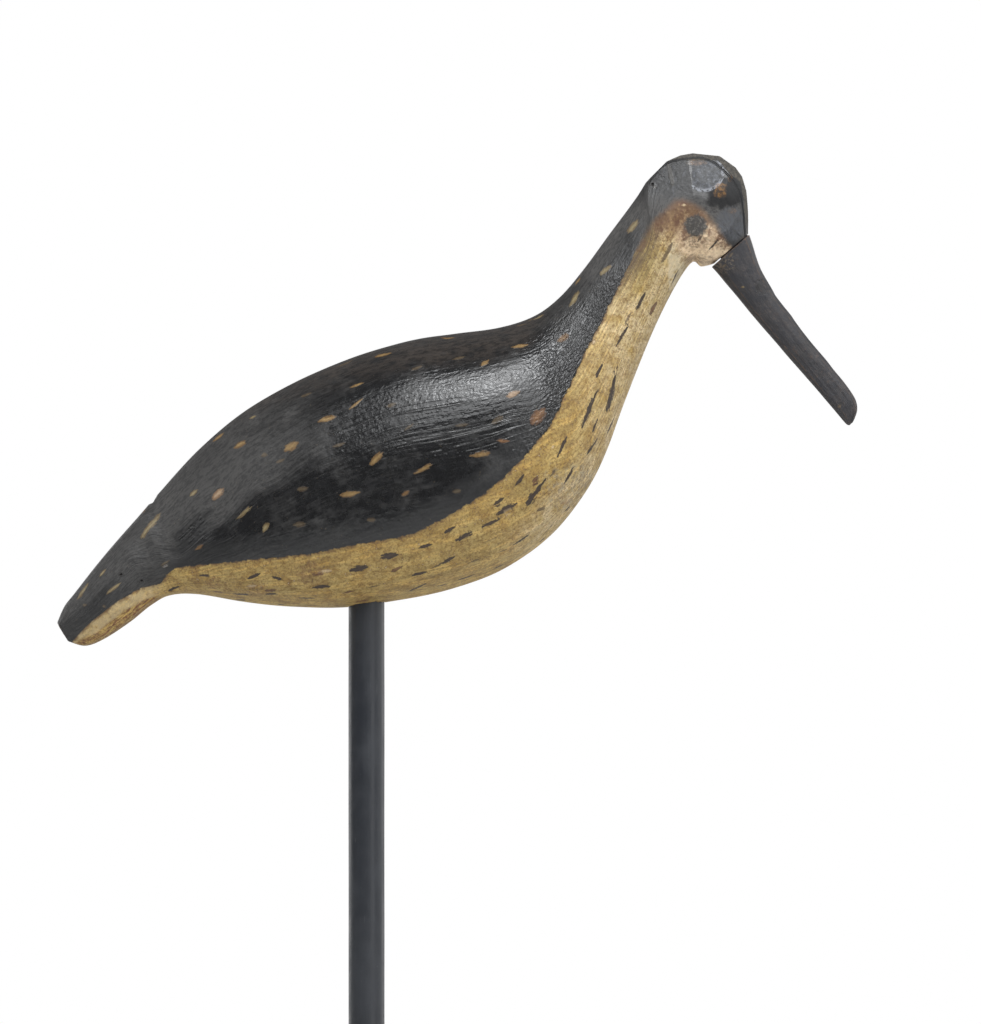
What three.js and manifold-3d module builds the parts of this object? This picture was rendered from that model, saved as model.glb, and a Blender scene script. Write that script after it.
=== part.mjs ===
// A carved shorebird decoy on its display stand. The bird is one carved piece from tail to crown. Its
// bill is a second piece, let into the face by a tenon of its own, and the bird stands on a dowel that
// is let into a round foot.
// Units are millimetres. +Z is up and +X is the way the bird faces. The origin is the middle of the
// foot's underside, on the dowel's axis.

import * as THREE from "three";
import { mergeVertices } from "three/addons/utils/BufferGeometryUtils.js";
import Module from "manifold-3d";

const wasm = await Module();
wasm.setup();

// Stand
const DOWEL_DIAMETER = 12.7;
const DOWEL_SHOWING = 178; // from the foot's top to the belly
const FOOT_DIAMETER = 127;
const FOOT_HEIGHT = 19;
const FOOT_TOP_ROUND = 4;
const FOOT_BOTTOM_CHAMFER = 0.8;
const FOOT_WOOD_UNDER_DOWEL = 6;
const BELLY_SOCKET_DEPTH = 30;

// Bird
const BODY_LENGTH = 243.6; // level, from the tail's tip to the forehead
const BODY_WIDTH = 70; // across the shoulders
const TAIL_NOTCH_DEPTH = 1.4; // of the knife's notch across the tail's root
const TAIL_NOTCH_LENGTH = 5.5;
const TAIL_NOTCH_DEEPEST = 0.68; // how far along its length the notch is deepest

// Bill
const BILL_LENGTH = 74;
const BILL_SEAM = 0.5; // the open joint between face and bill
const TENON_DIAMETER = 6;
const TENON_LENGTH = 14;

// Fits and fineness
const FIT_GAP = 0.3;
const RINGS_PER_STATION = 2;
const BODY_POINTS_PER_FLAT = 4;
const BILL_POINTS_PER_FLAT = 2;
const ROUND_SEGMENTS = 48;
const EDGE_SEGMENTS = 6;
const SAME_POINT = 1e-4;

// Half of a cross-section, from the middle of its top to the middle of its bottom. Each point is
// [side, up]: side is a share of the half width there, and up a share of the depth there.
const TAIL_SECTION = [
  [0, 1], [0.42, 0.975], [0.78, 0.86], [0.97, 0.66], [1, 0.46], [0.84, 0.24], [0.64, 0.04], [0, 0],
];
const BODY_SECTION = [
  [0, 1], [0.42, 0.95], [0.78, 0.845], [0.965, 0.71], [1, 0.53], [0.92, 0.29], [0.62, 0.085], [0, 0],
];
const NECK_SECTION = [
  [0, 1], [0.42, 0.955], [0.78, 0.82], [0.97, 0.62], [1, 0.44], [0.86, 0.21], [0.5, 0.055], [0, 0],
];
const CROWN_SECTION = [
  [0, 1], [0.34, 0.985], [0.65, 0.93], [0.97, 0.66], [1, 0.46], [0.94, 0.25], [0.62, 0.07], [0, 0],
];
const FOREHEAD_SECTION = [
  [0, 1], [0.36, 0.955], [0.72, 0.78], [0.97, 0.62], [1, 0.45], [0.95, 0.24], [0.66, 0.05], [0, 0],
];
const SEAT_SECTION = [
  [0, 1], [0.5, 0.985], [0.84, 0.9], [1, 0.7], [1, 0.42], [0.92, 0.18], [0.6, 0.03], [0, 0],
];
const BILL_SECTION = [
  [0, 1], [0.56, 0.99], [0.88, 0.88], [1, 0.68], [1, 0.32], [0.88, 0.12], [0.56, 0.01], [0, 0],
];

// The bird's stations, from the tail's end to the seat of the bill. top and bottom are [x, z] on its
// outline in hundredths of BODY_LENGTH, from where the dowel meets the belly. half is the half width
// as a share of the widest. crisp is how much of the knife's flats is left, from 0 to 1, and a station
// without it is sanded. shoulder moves the section's shoulder to another height, because the ridge of
// the folded wing runs down from high on the breast to the tail's root. The notch across the tail's
// root runs from the station named root towards the one named tail.
const BODY_STATIONS = [
  { top: [-44.8, -2.6], bottom: [-43.1, -5.4], half: 0.16, section: TAIL_SECTION, crisp: 0.8 },
  { top: [-43.8, -0.3], bottom: [-40.7, -6], half: 0.22, section: TAIL_SECTION, crisp: 0.8 },
  { top: [-42.4, 1.5], bottom: [-38, -5], half: 0.26, section: TAIL_SECTION, crisp: 0.8 },
  { top: [-39.6, 5], bottom: [-34.3, -2.6], half: 0.31, section: TAIL_SECTION, crisp: 0.8 },
  { top: [-36, 9.3], bottom: [-31.2, -0.1], half: 0.34, section: TAIL_SECTION, crisp: 0.6, name: "tail" },
  { top: [-32.8, 13], bottom: [-28.6, 1.3], half: 0.38, section: TAIL_SECTION, shoulder: 0.5, crisp: 0.3 },
  { top: [-30.3, 15.9], bottom: [-24.9, 1.5], half: 0.46, section: BODY_SECTION, shoulder: 0.4, name: "root" },
  { top: [-24.3, 22.4], bottom: [-18.3, 0.5], half: 0.65, section: BODY_SECTION, shoulder: 0.5 },
  { top: [-16.2, 28.9], bottom: [-11.1, -0.3], half: 0.81, section: BODY_SECTION, shoulder: 0.61 },
  { top: [-6, 34.2], bottom: [-3.1, -0.4], half: 0.93, section: BODY_SECTION, shoulder: 0.68 },
  { top: [4.9, 37.9], bottom: [4.9, 0.6], half: 0.99, section: BODY_SECTION },
  { top: [12.8, 39.2], bottom: [12.8, 2.4], half: 1, section: BODY_SECTION },
  { top: [19.3, 40.1], bottom: [20.4, 5.4], half: 0.96, section: BODY_SECTION },
  { top: [24.3, 41.8], bottom: [26.9, 10.2], half: 0.85, section: BODY_SECTION, shoulder: 0.67 },
  { top: [28, 44.5], bottom: [31.7, 16.1], half: 0.69, section: NECK_SECTION },
  { top: [31.4, 48.4], bottom: [35, 22.7], half: 0.54, section: NECK_SECTION },
  { top: [35.3, 53.7], bottom: [38.5, 32.2], half: 0.43, section: NECK_SECTION },
  { top: [39.1, 58.9], bottom: [42.1, 40.9], half: 0.375, section: NECK_SECTION, crisp: 0.2 },
  { top: [41.5, 62.5], bottom: [45.2, 46.9], half: 0.375, section: CROWN_SECTION, crisp: 0.6 },
  { top: [44.3, 64.8], bottom: [47.2, 49.6], half: 0.39, section: CROWN_SECTION, crisp: 1 },
  { top: [48.3, 65.4], bottom: [48.4, 49], half: 0.39, section: CROWN_SECTION, crisp: 1 },
  { top: [52.3, 64.3], bottom: [49.3, 49.1], half: 0.37, section: FOREHEAD_SECTION, crisp: 1 },
  { top: [54.6, 61.5], bottom: [49.9, 49.25], half: 0.325, section: FOREHEAD_SECTION, crisp: 1 },
  { top: [55.2, 57.9], bottom: [50.4, 49.45], half: 0.275, section: FOREHEAD_SECTION, crisp: 1 },
  { top: [55.3, 53.7], bottom: [50.9, 49.9], half: 0.23, section: SEAT_SECTION, crisp: 0.8 },
];

const SANDED = 0.1;

// The bill's stations, from its base to its tip. at is a share of BILL_LENGTH. top and bottom are
// shares of the seat's depth up from the middle of the seat, and half is a share of the seat's half
// width.
const BILL_CRISP = 0.6;
const BILL_STATIONS = [
  { at: 0, top: 0.49, bottom: -0.72, half: 0.9 },
  { at: 0.05, top: 0.39, bottom: -0.7, half: 0.86 },
  { at: 0.16, top: 0.15, bottom: -0.695, half: 0.76 },
  { at: 0.29, top: 0.01, bottom: -0.7, half: 0.66 },
  { at: 0.43, top: -0.05, bottom: -0.72, half: 0.58 },
  { at: 0.55, top: -0.12, bottom: -0.73, half: 0.53 },
  { at: 0.71, top: -0.14, bottom: -0.74, half: 0.48 },
  { at: 0.83, top: -0.1, bottom: -0.745, half: 0.45 },
  { at: 0.92, top: -0.14, bottom: -0.75, half: 0.41 },
  { at: 0.966, top: -0.28, bottom: -0.75, half: 0.34 },
  { at: 0.99, top: -0.48, bottom: -0.74, half: 0.24 },
  { at: 1, top: -0.6, bottom: -0.71, half: 0.13 },
];

// The knife's flats on each side of the head: behind the crown, on the crown and on the cheek. at is
// [x, z] in hundredths of BODY_LENGTH, out is how far the flat stands from the bird's middle there as
// a share of BODY_WIDTH, and up and ahead are the angles in degrees by which it faces up from level
// and ahead from square.
const HEAD_FLATS = [
  { at: [45.3, 61], out: 0.157, up: 24, ahead: -10 },
  { at: [49.3, 61], out: 0.157, up: 24, ahead: 8 },
  { at: [52.3, 54.6], out: 0.152, up: -2, ahead: 22 },
];

const PAINTED_BLACK = { color: 0x2b2a2c, roughness: 0.45, metalness: 0 };
const BILL_BLACK = { color: 0x3a383a, roughness: 0.6, metalness: 0 };
const STAND_BLACK = { color: 0x2f343b, roughness: 0.5, metalness: 0 };

// Curves and sections

// The value at share t of the smooth curve that passes through all the values, evenly spaced.
function through(values, t) {
  const curve = new THREE.SplineCurve(values.map((value, index) => new THREE.Vector2(index, value)));
  return curve.getPoint(t).y;
}

// A ring's point on half of the section, at share s of the way from top to bottom. A crisp section
// keeps straight flats between its corners, and a soft one runs in one curve through them.
function sectionPoint(section, crisp, s) {
  const corners = section.map(([side, up]) => new THREE.Vector2(side, up));
  const flats = corners.length - 1;
  const flat = Math.min(Math.floor(s * flats), flats - 1);
  const straight = corners[flat].clone().lerp(corners[flat + 1], s * flats - flat);
  const mirrored = ([side, up]) => new THREE.Vector2(-side, up);
  const closed = [mirrored(section[1]), ...corners, mirrored(section[flats - 1])];
  const soft = new THREE.SplineCurve(closed).getPoint((1 + s * flats) / (flats + 2));
  return soft.lerp(straight, crisp);
}

// The same section with its shoulder, the fourth corner, at another height.
function withShoulder(section, height = section[3][1]) {
  const shoulder = section[3][1];
  return section.map(([side, up]) => {
    const above = 1 - ((1 - up) * (1 - height)) / (1 - shoulder);
    return [side, up > shoulder ? above : (up * height) / shoulder];
  });
}

// The full ring of points at share t of the way along the stations, in order round it, in the plane of
// its two outline points.
function ringAt(stations, t, pointsPerFlat) {
  const value = (pick) => through(stations.map(pick), t);
  const bottom = new THREE.Vector3(value((s) => s.bottom.x), 0, value((s) => s.bottom.y));
  const top = new THREE.Vector3(value((s) => s.top.x), 0, value((s) => s.top.y));
  const half = value((s) => s.half);
  const place = t * (stations.length - 1);
  const before = stations[Math.floor(place)];
  const after = stations[Math.min(Math.floor(place) + 1, stations.length - 1)];
  const share = THREE.MathUtils.smoothstep(place - Math.floor(place), 0, 1);
  const pointAt = (side, s) => {
    const from = sectionPoint(before.section, before.crisp, s);
    const point = from.lerp(sectionPoint(after.section, after.crisp, s), share);
    return bottom.clone().lerp(top, point.y).setY(side * half * point.x);
  };
  const steps = (before.section.length - 1) * pointsPerFlat;
  const ring = [];
  for (let i = 0; i < steps; i++) ring.push(pointAt(-1, i / steps));
  for (let i = steps; i > 0; i--) ring.push(pointAt(1, i / steps));
  return ring;
}

// A closed solid through the rings of all stations, with a flat cap on its first and last ring.
function carvedGeometry(stations, pointsPerFlat) {
  const ringCount = (stations.length - 1) * RINGS_PER_STATION + 1;
  const rings = [];
  for (let i = 0; i < ringCount; i++) rings.push(ringAt(stations, i / (ringCount - 1), pointsPerFlat));
  const size = rings[0].length;
  const middle = (ring) => ring.reduce((sum, p) => sum.add(p), new THREE.Vector3()).divideScalar(size);
  const points = [...rings.flat(), middle(rings[0]), middle(rings[ringCount - 1])];
  const firstMiddle = ringCount * size;
  const lastMiddle = firstMiddle + 1;
  const lastRing = (ringCount - 1) * size;
  const faces = [];
  for (let i = 0; i < size; i++) {
    const next = (i + 1) % size;
    for (let ring = 0; ring < lastRing; ring += size) {
      faces.push(ring + i, ring + next, ring + size + i);
      faces.push(ring + next, ring + size + next, ring + size + i);
    }
    faces.push(firstMiddle, next, i);
    faces.push(lastMiddle, lastRing + i, lastRing + next);
  }
  const geometry = new THREE.BufferGeometry().setFromPoints(points);
  geometry.setIndex(faces);
  return geometry;
}

// Solids to cut and join

function solidOf(geometry, matrix = new THREE.Matrix4()) {
  const bare = geometry.clone().applyMatrix4(matrix);
  bare.deleteAttribute("normal");
  bare.deleteAttribute("uv");
  const merged = mergeVertices(bare, SAME_POINT);
  const vertProperties = merged.attributes.position.array;
  const triVerts = new Uint32Array(merged.index.array);
  return new wasm.Manifold(new wasm.Mesh({ numProp: 3, vertProperties, triVerts }));
}

function geometryOf(solid) {
  const mesh = solid.getMesh();
  const positions = new Float32Array(mesh.numVert * 3);
  for (let i = 0; i < mesh.numVert; i++) {
    positions.set(mesh.vertProperties.subarray(i * mesh.numProp, i * mesh.numProp + 3), i * 3);
  }
  const geometry = new THREE.BufferGeometry();
  geometry.setAttribute("position", new THREE.BufferAttribute(positions, 3));
  geometry.setIndex(new THREE.BufferAttribute(mesh.triVerts, 1));
  geometry.computeVertexNormals();
  return geometry;
}

// A round peg from base to base + length along a direction.
function pegSolid(radius, length, base, direction) {
  const geometry = new THREE.CylinderGeometry(radius, radius, length, ROUND_SEGMENTS);
  geometry.translate(0, length / 2, 0);
  const turn = new THREE.Quaternion().setFromUnitVectors(new THREE.Vector3(0, 1, 0), direction);
  return solidOf(geometry, new THREE.Matrix4().compose(base, turn, new THREE.Vector3(1, 1, 1)));
}

// Everything outside the flat that passes through a point and faces along a direction.
function outsideFlat(point, facing) {
  const reach = BODY_WIDTH;
  const geometry = new THREE.BoxGeometry(reach, reach, reach).translate(0, 0, reach / 2);
  const turn = new THREE.Quaternion().setFromUnitVectors(new THREE.Vector3(0, 0, 1), facing);
  return solidOf(geometry, new THREE.Matrix4().compose(point, turn, new THREE.Vector3(1, 1, 1)));
}

// The bird

const inSpace = (point) => new THREE.Vector3(point.x, 0, point.y);
const bodyPoint = ([x, z]) => new THREE.Vector2(x, z).multiplyScalar(BODY_LENGTH / 100);
const bodyStations = BODY_STATIONS.map((station) => ({
  ...station,
  top: bodyPoint(station.top),
  bottom: bodyPoint(station.bottom),
  half: (station.half * BODY_WIDTH) / 2,
  crisp: station.crisp ?? SANDED,
  section: withShoulder(station.section, station.shoulder),
}));

// The seat of the bill: the flat end of the face, with its middle, its depth and the way it faces.
const seatStation = bodyStations[bodyStations.length - 1];
const seatDepth = seatStation.top.distanceTo(seatStation.bottom);
const seatUp = seatStation.top.clone().sub(seatStation.bottom).normalize();
const seatMiddle = inSpace(seatStation.top.clone().lerp(seatStation.bottom, 0.5));
const seatFacing = new THREE.Vector3(seatUp.y, 0, -seatUp.x);

function headFlatSolids() {
  const solids = [];
  for (const { at, out, up, ahead } of HEAD_FLATS) {
    const place = bodyPoint(at);
    const rise = THREE.MathUtils.degToRad(up);
    const turn = THREE.MathUtils.degToRad(ahead);
    for (const side of [-1, 1]) {
      const facing = new THREE.Vector3(
        Math.sin(turn) * Math.cos(rise),
        side * Math.cos(turn) * Math.cos(rise),
        Math.sin(rise),
      );
      solids.push(outsideFlat(inSpace(place).setY(side * out * BODY_WIDTH), facing));
    }
  }
  return solids;
}

// The notch that the knife left across the tail's root: it slopes in along the back, and comes out
// more steeply towards the tail.
function tailNotchSolid() {
  const back = bodyStations.find((station) => station.name === "root").top;
  const tail = bodyStations.find((station) => station.name === "tail").top;
  const along = tail.clone().sub(back).normalize();
  const outline = new THREE.Shape([
    new THREE.Vector2(0, TAIL_NOTCH_DEPTH),
    new THREE.Vector2(0, 0),
    new THREE.Vector2(TAIL_NOTCH_LENGTH * TAIL_NOTCH_DEEPEST, -TAIL_NOTCH_DEPTH),
    new THREE.Vector2(TAIL_NOTCH_LENGTH, 0),
    new THREE.Vector2(TAIL_NOTCH_LENGTH, TAIL_NOTCH_DEPTH),
  ]);
  const cutter = new THREE.ExtrudeGeometry(outline, { depth: BODY_WIDTH, bevelEnabled: false });
  cutter.translate(0, 0, -BODY_WIDTH / 2);
  const across = new THREE.Vector3(0, 1, 0);
  const down = inSpace(along);
  const above = new THREE.Vector3().crossVectors(across, down);
  const frame = new THREE.Matrix4().makeBasis(down, above, across);
  return solidOf(cutter, frame.setPosition(inSpace(back)));
}

function bodyMesh() {
  let solid = solidOf(carvedGeometry(bodyStations, BODY_POINTS_PER_FLAT));
  for (const flat of headFlatSolids()) solid = solid.subtract(flat);
  solid = solid.subtract(tailNotchSolid());
  const dowelSocket = pegSolid(
    DOWEL_DIAMETER / 2 + FIT_GAP,
    BELLY_SOCKET_DEPTH * 2,
    new THREE.Vector3(0, 0, -BELLY_SOCKET_DEPTH),
    new THREE.Vector3(0, 0, 1),
  );
  const tenonSocket = pegSolid(
    TENON_DIAMETER / 2 + FIT_GAP,
    TENON_LENGTH * 2,
    seatMiddle.clone().addScaledVector(seatFacing, TENON_LENGTH),
    seatFacing.clone().negate(),
  );
  solid = solid.subtract(dowelSocket).subtract(tenonSocket);
  const mesh = new THREE.Mesh(geometryOf(solid), new THREE.MeshStandardMaterial(PAINTED_BLACK));
  mesh.name = "carved_body";
  return mesh;
}

// The bill, in the frame of its seat: X runs out from the face and Z up along the seat.
function billMesh() {
  const stations = BILL_STATIONS.map(({ at, top, bottom, half }) => ({
    top: new THREE.Vector2(at * BILL_LENGTH, top * seatDepth),
    bottom: new THREE.Vector2(at * BILL_LENGTH, bottom * seatDepth),
    half: half * seatStation.half,
    section: BILL_SECTION,
    crisp: BILL_CRISP,
  }));
  const across = new THREE.Vector3(0, 1, 0);
  const frame = new THREE.Matrix4().makeBasis(seatFacing, across, inSpace(seatUp));
  frame.setPosition(seatMiddle.clone().addScaledVector(seatFacing, BILL_SEAM));
  const tenon = pegSolid(
    TENON_DIAMETER / 2,
    TENON_LENGTH + TENON_DIAMETER,
    seatMiddle.clone().addScaledVector(seatFacing, TENON_DIAMETER + BILL_SEAM),
    seatFacing.clone().negate(),
  );
  const solid = solidOf(carvedGeometry(stations, BILL_POINTS_PER_FLAT), frame).add(tenon);
  const mesh = new THREE.Mesh(geometryOf(solid), new THREE.MeshStandardMaterial(BILL_BLACK));
  mesh.name = "bill";
  return mesh;
}

// The stand

const bellyHeight = FOOT_HEIGHT + DOWEL_SHOWING;
const dowelRadius = DOWEL_DIAMETER / 2;

function dowelMesh() {
  const bottom = FOOT_WOOD_UNDER_DOWEL + FIT_GAP;
  const top = bellyHeight + BELLY_SOCKET_DEPTH - FIT_GAP;
  const geometry = new THREE.CylinderGeometry(dowelRadius, dowelRadius, top - bottom, ROUND_SEGMENTS);
  const mesh = new THREE.Mesh(geometry, new THREE.MeshStandardMaterial(STAND_BLACK));
  mesh.name = "dowel";
  mesh.rotation.x = Math.PI / 2;
  mesh.position.z = (top + bottom) / 2;
  return mesh;
}

function footMesh() {
  const radius = FOOT_DIAMETER / 2;
  const socketRadius = dowelRadius + FIT_GAP;
  const topEdge = new THREE.EllipseCurve(
    radius - FOOT_TOP_ROUND, FOOT_HEIGHT - FOOT_TOP_ROUND, FOOT_TOP_ROUND, FOOT_TOP_ROUND, 0, Math.PI / 2,
  );
  const profile = [
    new THREE.Vector2(0, 0),
    new THREE.Vector2(radius - FOOT_BOTTOM_CHAMFER, 0),
    new THREE.Vector2(radius, FOOT_BOTTOM_CHAMFER),
    ...topEdge.getPoints(EDGE_SEGMENTS),
    new THREE.Vector2(socketRadius, FOOT_HEIGHT),
    new THREE.Vector2(socketRadius, FOOT_WOOD_UNDER_DOWEL),
    new THREE.Vector2(0, FOOT_WOOD_UNDER_DOWEL),
  ];
  const mesh = new THREE.Mesh(
    new THREE.LatheGeometry(profile, ROUND_SEGMENTS),
    new THREE.MeshStandardMaterial(STAND_BLACK),
  );
  mesh.name = "foot";
  mesh.rotation.x = Math.PI / 2;
  return mesh;
}

const bird = new THREE.Group();
bird.add(bodyMesh(), billMesh());
bird.position.z = bellyHeight;

const decoy = new THREE.Group();
decoy.add(bird, dowelMesh(), footMesh());

export default decoy;
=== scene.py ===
"""A carved and painted shorebird decoy on its display stand.

The bird is one carved piece. Its bill is a second piece, let into the face by a tenon. The bird stands
on a painted dowel, and the dowel stands in a round foot. Lengths are metres unless a name says
otherwise. +X is the way the bird faces and +Z is up. The camera looks along +Y at the bird's side.
"""

import logging
import math
import random
from collections.abc import Callable, Sequence
from dataclasses import dataclass, field
from enum import Enum
from functools import cached_property

import bmesh
import bpy
import numpy as np
from mathutils import Matrix, Vector, noise
from mathutils.bvhtree import BVHTree
from mathutils.kdtree import KDTree


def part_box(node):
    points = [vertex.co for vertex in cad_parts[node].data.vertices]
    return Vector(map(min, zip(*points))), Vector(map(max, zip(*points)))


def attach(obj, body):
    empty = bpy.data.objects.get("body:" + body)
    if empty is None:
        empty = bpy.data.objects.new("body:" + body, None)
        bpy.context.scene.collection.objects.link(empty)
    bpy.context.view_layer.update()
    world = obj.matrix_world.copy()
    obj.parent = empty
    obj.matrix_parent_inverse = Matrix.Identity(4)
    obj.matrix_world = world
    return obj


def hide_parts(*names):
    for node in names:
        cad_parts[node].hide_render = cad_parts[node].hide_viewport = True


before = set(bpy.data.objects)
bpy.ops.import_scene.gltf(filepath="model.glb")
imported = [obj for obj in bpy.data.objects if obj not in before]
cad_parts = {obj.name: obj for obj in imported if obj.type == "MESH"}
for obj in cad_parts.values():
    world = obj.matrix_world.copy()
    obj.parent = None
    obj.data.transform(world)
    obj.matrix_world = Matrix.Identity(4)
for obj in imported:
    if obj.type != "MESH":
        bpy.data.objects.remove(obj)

LOG = logging.getLogger("decoy")
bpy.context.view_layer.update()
BODY = "root"
MM = 0.001
MERGE = 1e-7  # How close two vertices are the same one.
SNAP = 1e-6  # How close to a cut a vertex lies on it.
TINY = 1e-9  # The shortest edge that is measured.

Array = np.ndarray
Mesh = bmesh.types.BMesh
Edges = list[bmesh.types.BMEdge]
Piece = bpy.types.Object
Pair = tuple[float, float]
Triple = tuple[float, float, float]


# The photograph's frame

@dataclass(frozen=True)
class Photo:
    """The photograph's frame, which places painted marks and the camera.

    Attributes:
        belly_height: How high the belly stands.
        width: The picture's width in pixels.
        height: The picture's height in pixels.
        pixel: What one pixel measures on the bird's middle plane.
        dowel_column: The pixel column of the dowel's axis.
        belly_row: The pixel row where the dowel meets the belly.
        distance: How far the camera stands from the bird's middle plane.
        sensor: The camera's sensor width in millimetres.
    """

    belly_height: float
    width: int = 981
    height: int = 1024
    pixel: float = 0.353 * MM
    dowel_column: float = 366.5
    belly_row: float = 604.3
    distance: float = 2.2
    sensor: float = 36.0

    def on_middle_plane(self, column: float, row: float) -> Vector:
        """Finds where a pixel falls on the bird's middle plane."""
        x = (column - self.dowel_column) * self.pixel
        return Vector((x, 0, self.belly_height + (self.belly_row - row) * self.pixel))

    def eye(self) -> Vector:
        """Returns where the camera stands."""
        middle = self.on_middle_plane(self.width / 2, self.height / 2)
        return middle + Vector((0, -self.distance, 0))

    def lens(self) -> float:
        """Returns the camera's focal length in millimetres."""
        return self.sensor * self.distance / (self.width * self.pixel)

    def pixels_of(self, points: Array) -> Array:
        """Projects points to pixels, with the far side of the bird folded onto the near one.

        Args:
            points: Rows of x, y, z.

        Returns:
            Rows of column, row.
        """
        eye = self.eye()
        nearer = self.distance / (self.distance - np.abs(points[:, 1]))
        x = eye.x + (points[:, 0] - eye.x) * nearer
        z = eye.z + (points[:, 2] - eye.z) * nearer
        columns = self.dowel_column + x / self.pixel
        rows = self.belly_row - (z - self.belly_height) / self.pixel
        return np.stack([columns, rows], axis=1)


SPAN = 1.001  # What the carving measures along x, as a share of its length.
LOWEST = 0.06  # How far its lowest point lies below the dowel's top, as a share of its length.
BODY_LOW, BODY_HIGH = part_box("carved_body")
BODY_LENGTH = (BODY_HIGH.x - BODY_LOW.x) / SPAN
PHOTO = Photo(BODY_LOW.z + LOWEST * BODY_LENGTH)


# Curves and sections

SANDED = 0.1


class Section(Enum):
    """Half cross-sections, from the middle of the top to the middle of the bottom.

    Each corner is (side, up): side is a share of the half width and up a share of the depth.
    """

    TAIL = ((0, 1), (0.42, 0.975), (0.78, 0.86), (0.97, 0.66), (1, 0.46), (0.84, 0.24), (0.64, 0.04), (0, 0))
    BODY = (
        (0, 1), (0.42, 0.95), (0.78, 0.845), (0.965, 0.71), (1, 0.53), (0.92, 0.29), (0.62, 0.085), (0, 0),
    )
    NECK = ((0, 1), (0.42, 0.955), (0.78, 0.82), (0.97, 0.62), (1, 0.44), (0.86, 0.21), (0.5, 0.055), (0, 0))
    CROWN = ((0, 1), (0.3, 1), (0.56, 0.99), (0.86, 0.945), (1, 0.48), (0.94, 0.25), (0.62, 0.07), (0, 0))
    FOREHEAD = ((0, 1), (0.34, 1), (0.62, 0.985), (0.88, 0.94), (1, 0.47), (0.95, 0.24), (0.66, 0.05), (0, 0))
    SEAT = ((0, 1), (0.5, 0.985), (0.84, 0.9), (1, 0.7), (1, 0.42), (0.92, 0.18), (0.6, 0.03), (0, 0))
    BILL = ((0, 1), (0.56, 0.99), (0.88, 0.88), (1, 0.68), (1, 0.32), (0.88, 0.12), (0.56, 0.01), (0, 0))


SHOULDER_CORNER = 3


@dataclass(frozen=True)
class Station:
    """One cross-section of a carved piece, between a top and a bottom point of its outline.

    Attributes:
        top: The outline's upper point, (x, z).
        bottom: The outline's lower point, (x, z).
        half: The half width.
        section: The section's shape.
        crisp: How much of the knife's flats is left, from 0 to 1.
        shoulder: Another height for the section's shoulder, where it has one.
    """

    top: Pair
    bottom: Pair
    half: float
    section: Section
    crisp: float = SANDED
    shoulder: float | None = None

    def corners(self) -> Array:
        """Returns the section's corners with the shoulder at its own height."""
        corners = np.array(self.section.value, float)
        if self.shoulder is None:
            return corners
        usual = corners[SHOULDER_CORNER, 1]
        up = corners[:, 1]
        above = 1 - (1 - up) * (1 - self.shoulder) / (1 - usual)
        corners[:, 1] = np.where(up > usual, above, up * self.shoulder / usual)
        return corners

    def outline(self, points_per_flat: int) -> Array:
        """Samples the half section from top to bottom.

        Args:
            points_per_flat: How many points each flat gets.

        Returns:
            Rows of side, up.
        """
        corners = self.corners()
        flats = len(corners) - 1
        mirror = np.array((-1, 1))
        closed = np.vstack([corners[1] * mirror, corners, corners[-2] * mirror])
        shares = np.linspace(0, 1, flats * points_per_flat + 1)
        soft = smooth_curve(closed, (1 + shares * flats) / (flats + 2))
        flat = np.minimum((shares * flats).astype(int), flats - 1)
        within = (shares * flats - flat)[:, None]
        straight = corners[flat] * (1 - within) + corners[flat + 1] * within
        return soft * (1 - self.crisp) + straight * self.crisp


def smooth_curve(values: Array, shares: Array) -> Array:
    """Follows the smooth curve that passes through evenly spaced values.

    Args:
        values: One row for each value.
        shares: How far along the curve to look, from 0 to 1.

    Returns:
        One row for each share.
    """
    last = len(values) - 1
    place = shares * last
    before = np.minimum(place.astype(int), last)
    w = (place - before)[:, None]
    p0 = values[np.maximum(before - 1, 0)]
    p1 = values[before]
    p2 = values[np.minimum(before + 1, last)]
    p3 = values[np.minimum(before + 2, last)]
    v0 = (p2 - p0) / 2
    v1 = (p3 - p1) / 2
    return (2 * p1 - 2 * p2 + v0 + v1) * w**3 + (3 * p2 - 3 * p1 - 2 * v0 - v1) * w**2 + v0 * w + p1


def smoothstep(share: float) -> float:
    """Returns a share from 0 to 1, eased at both ends."""
    return share * share * (3 - 2 * share)


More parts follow.
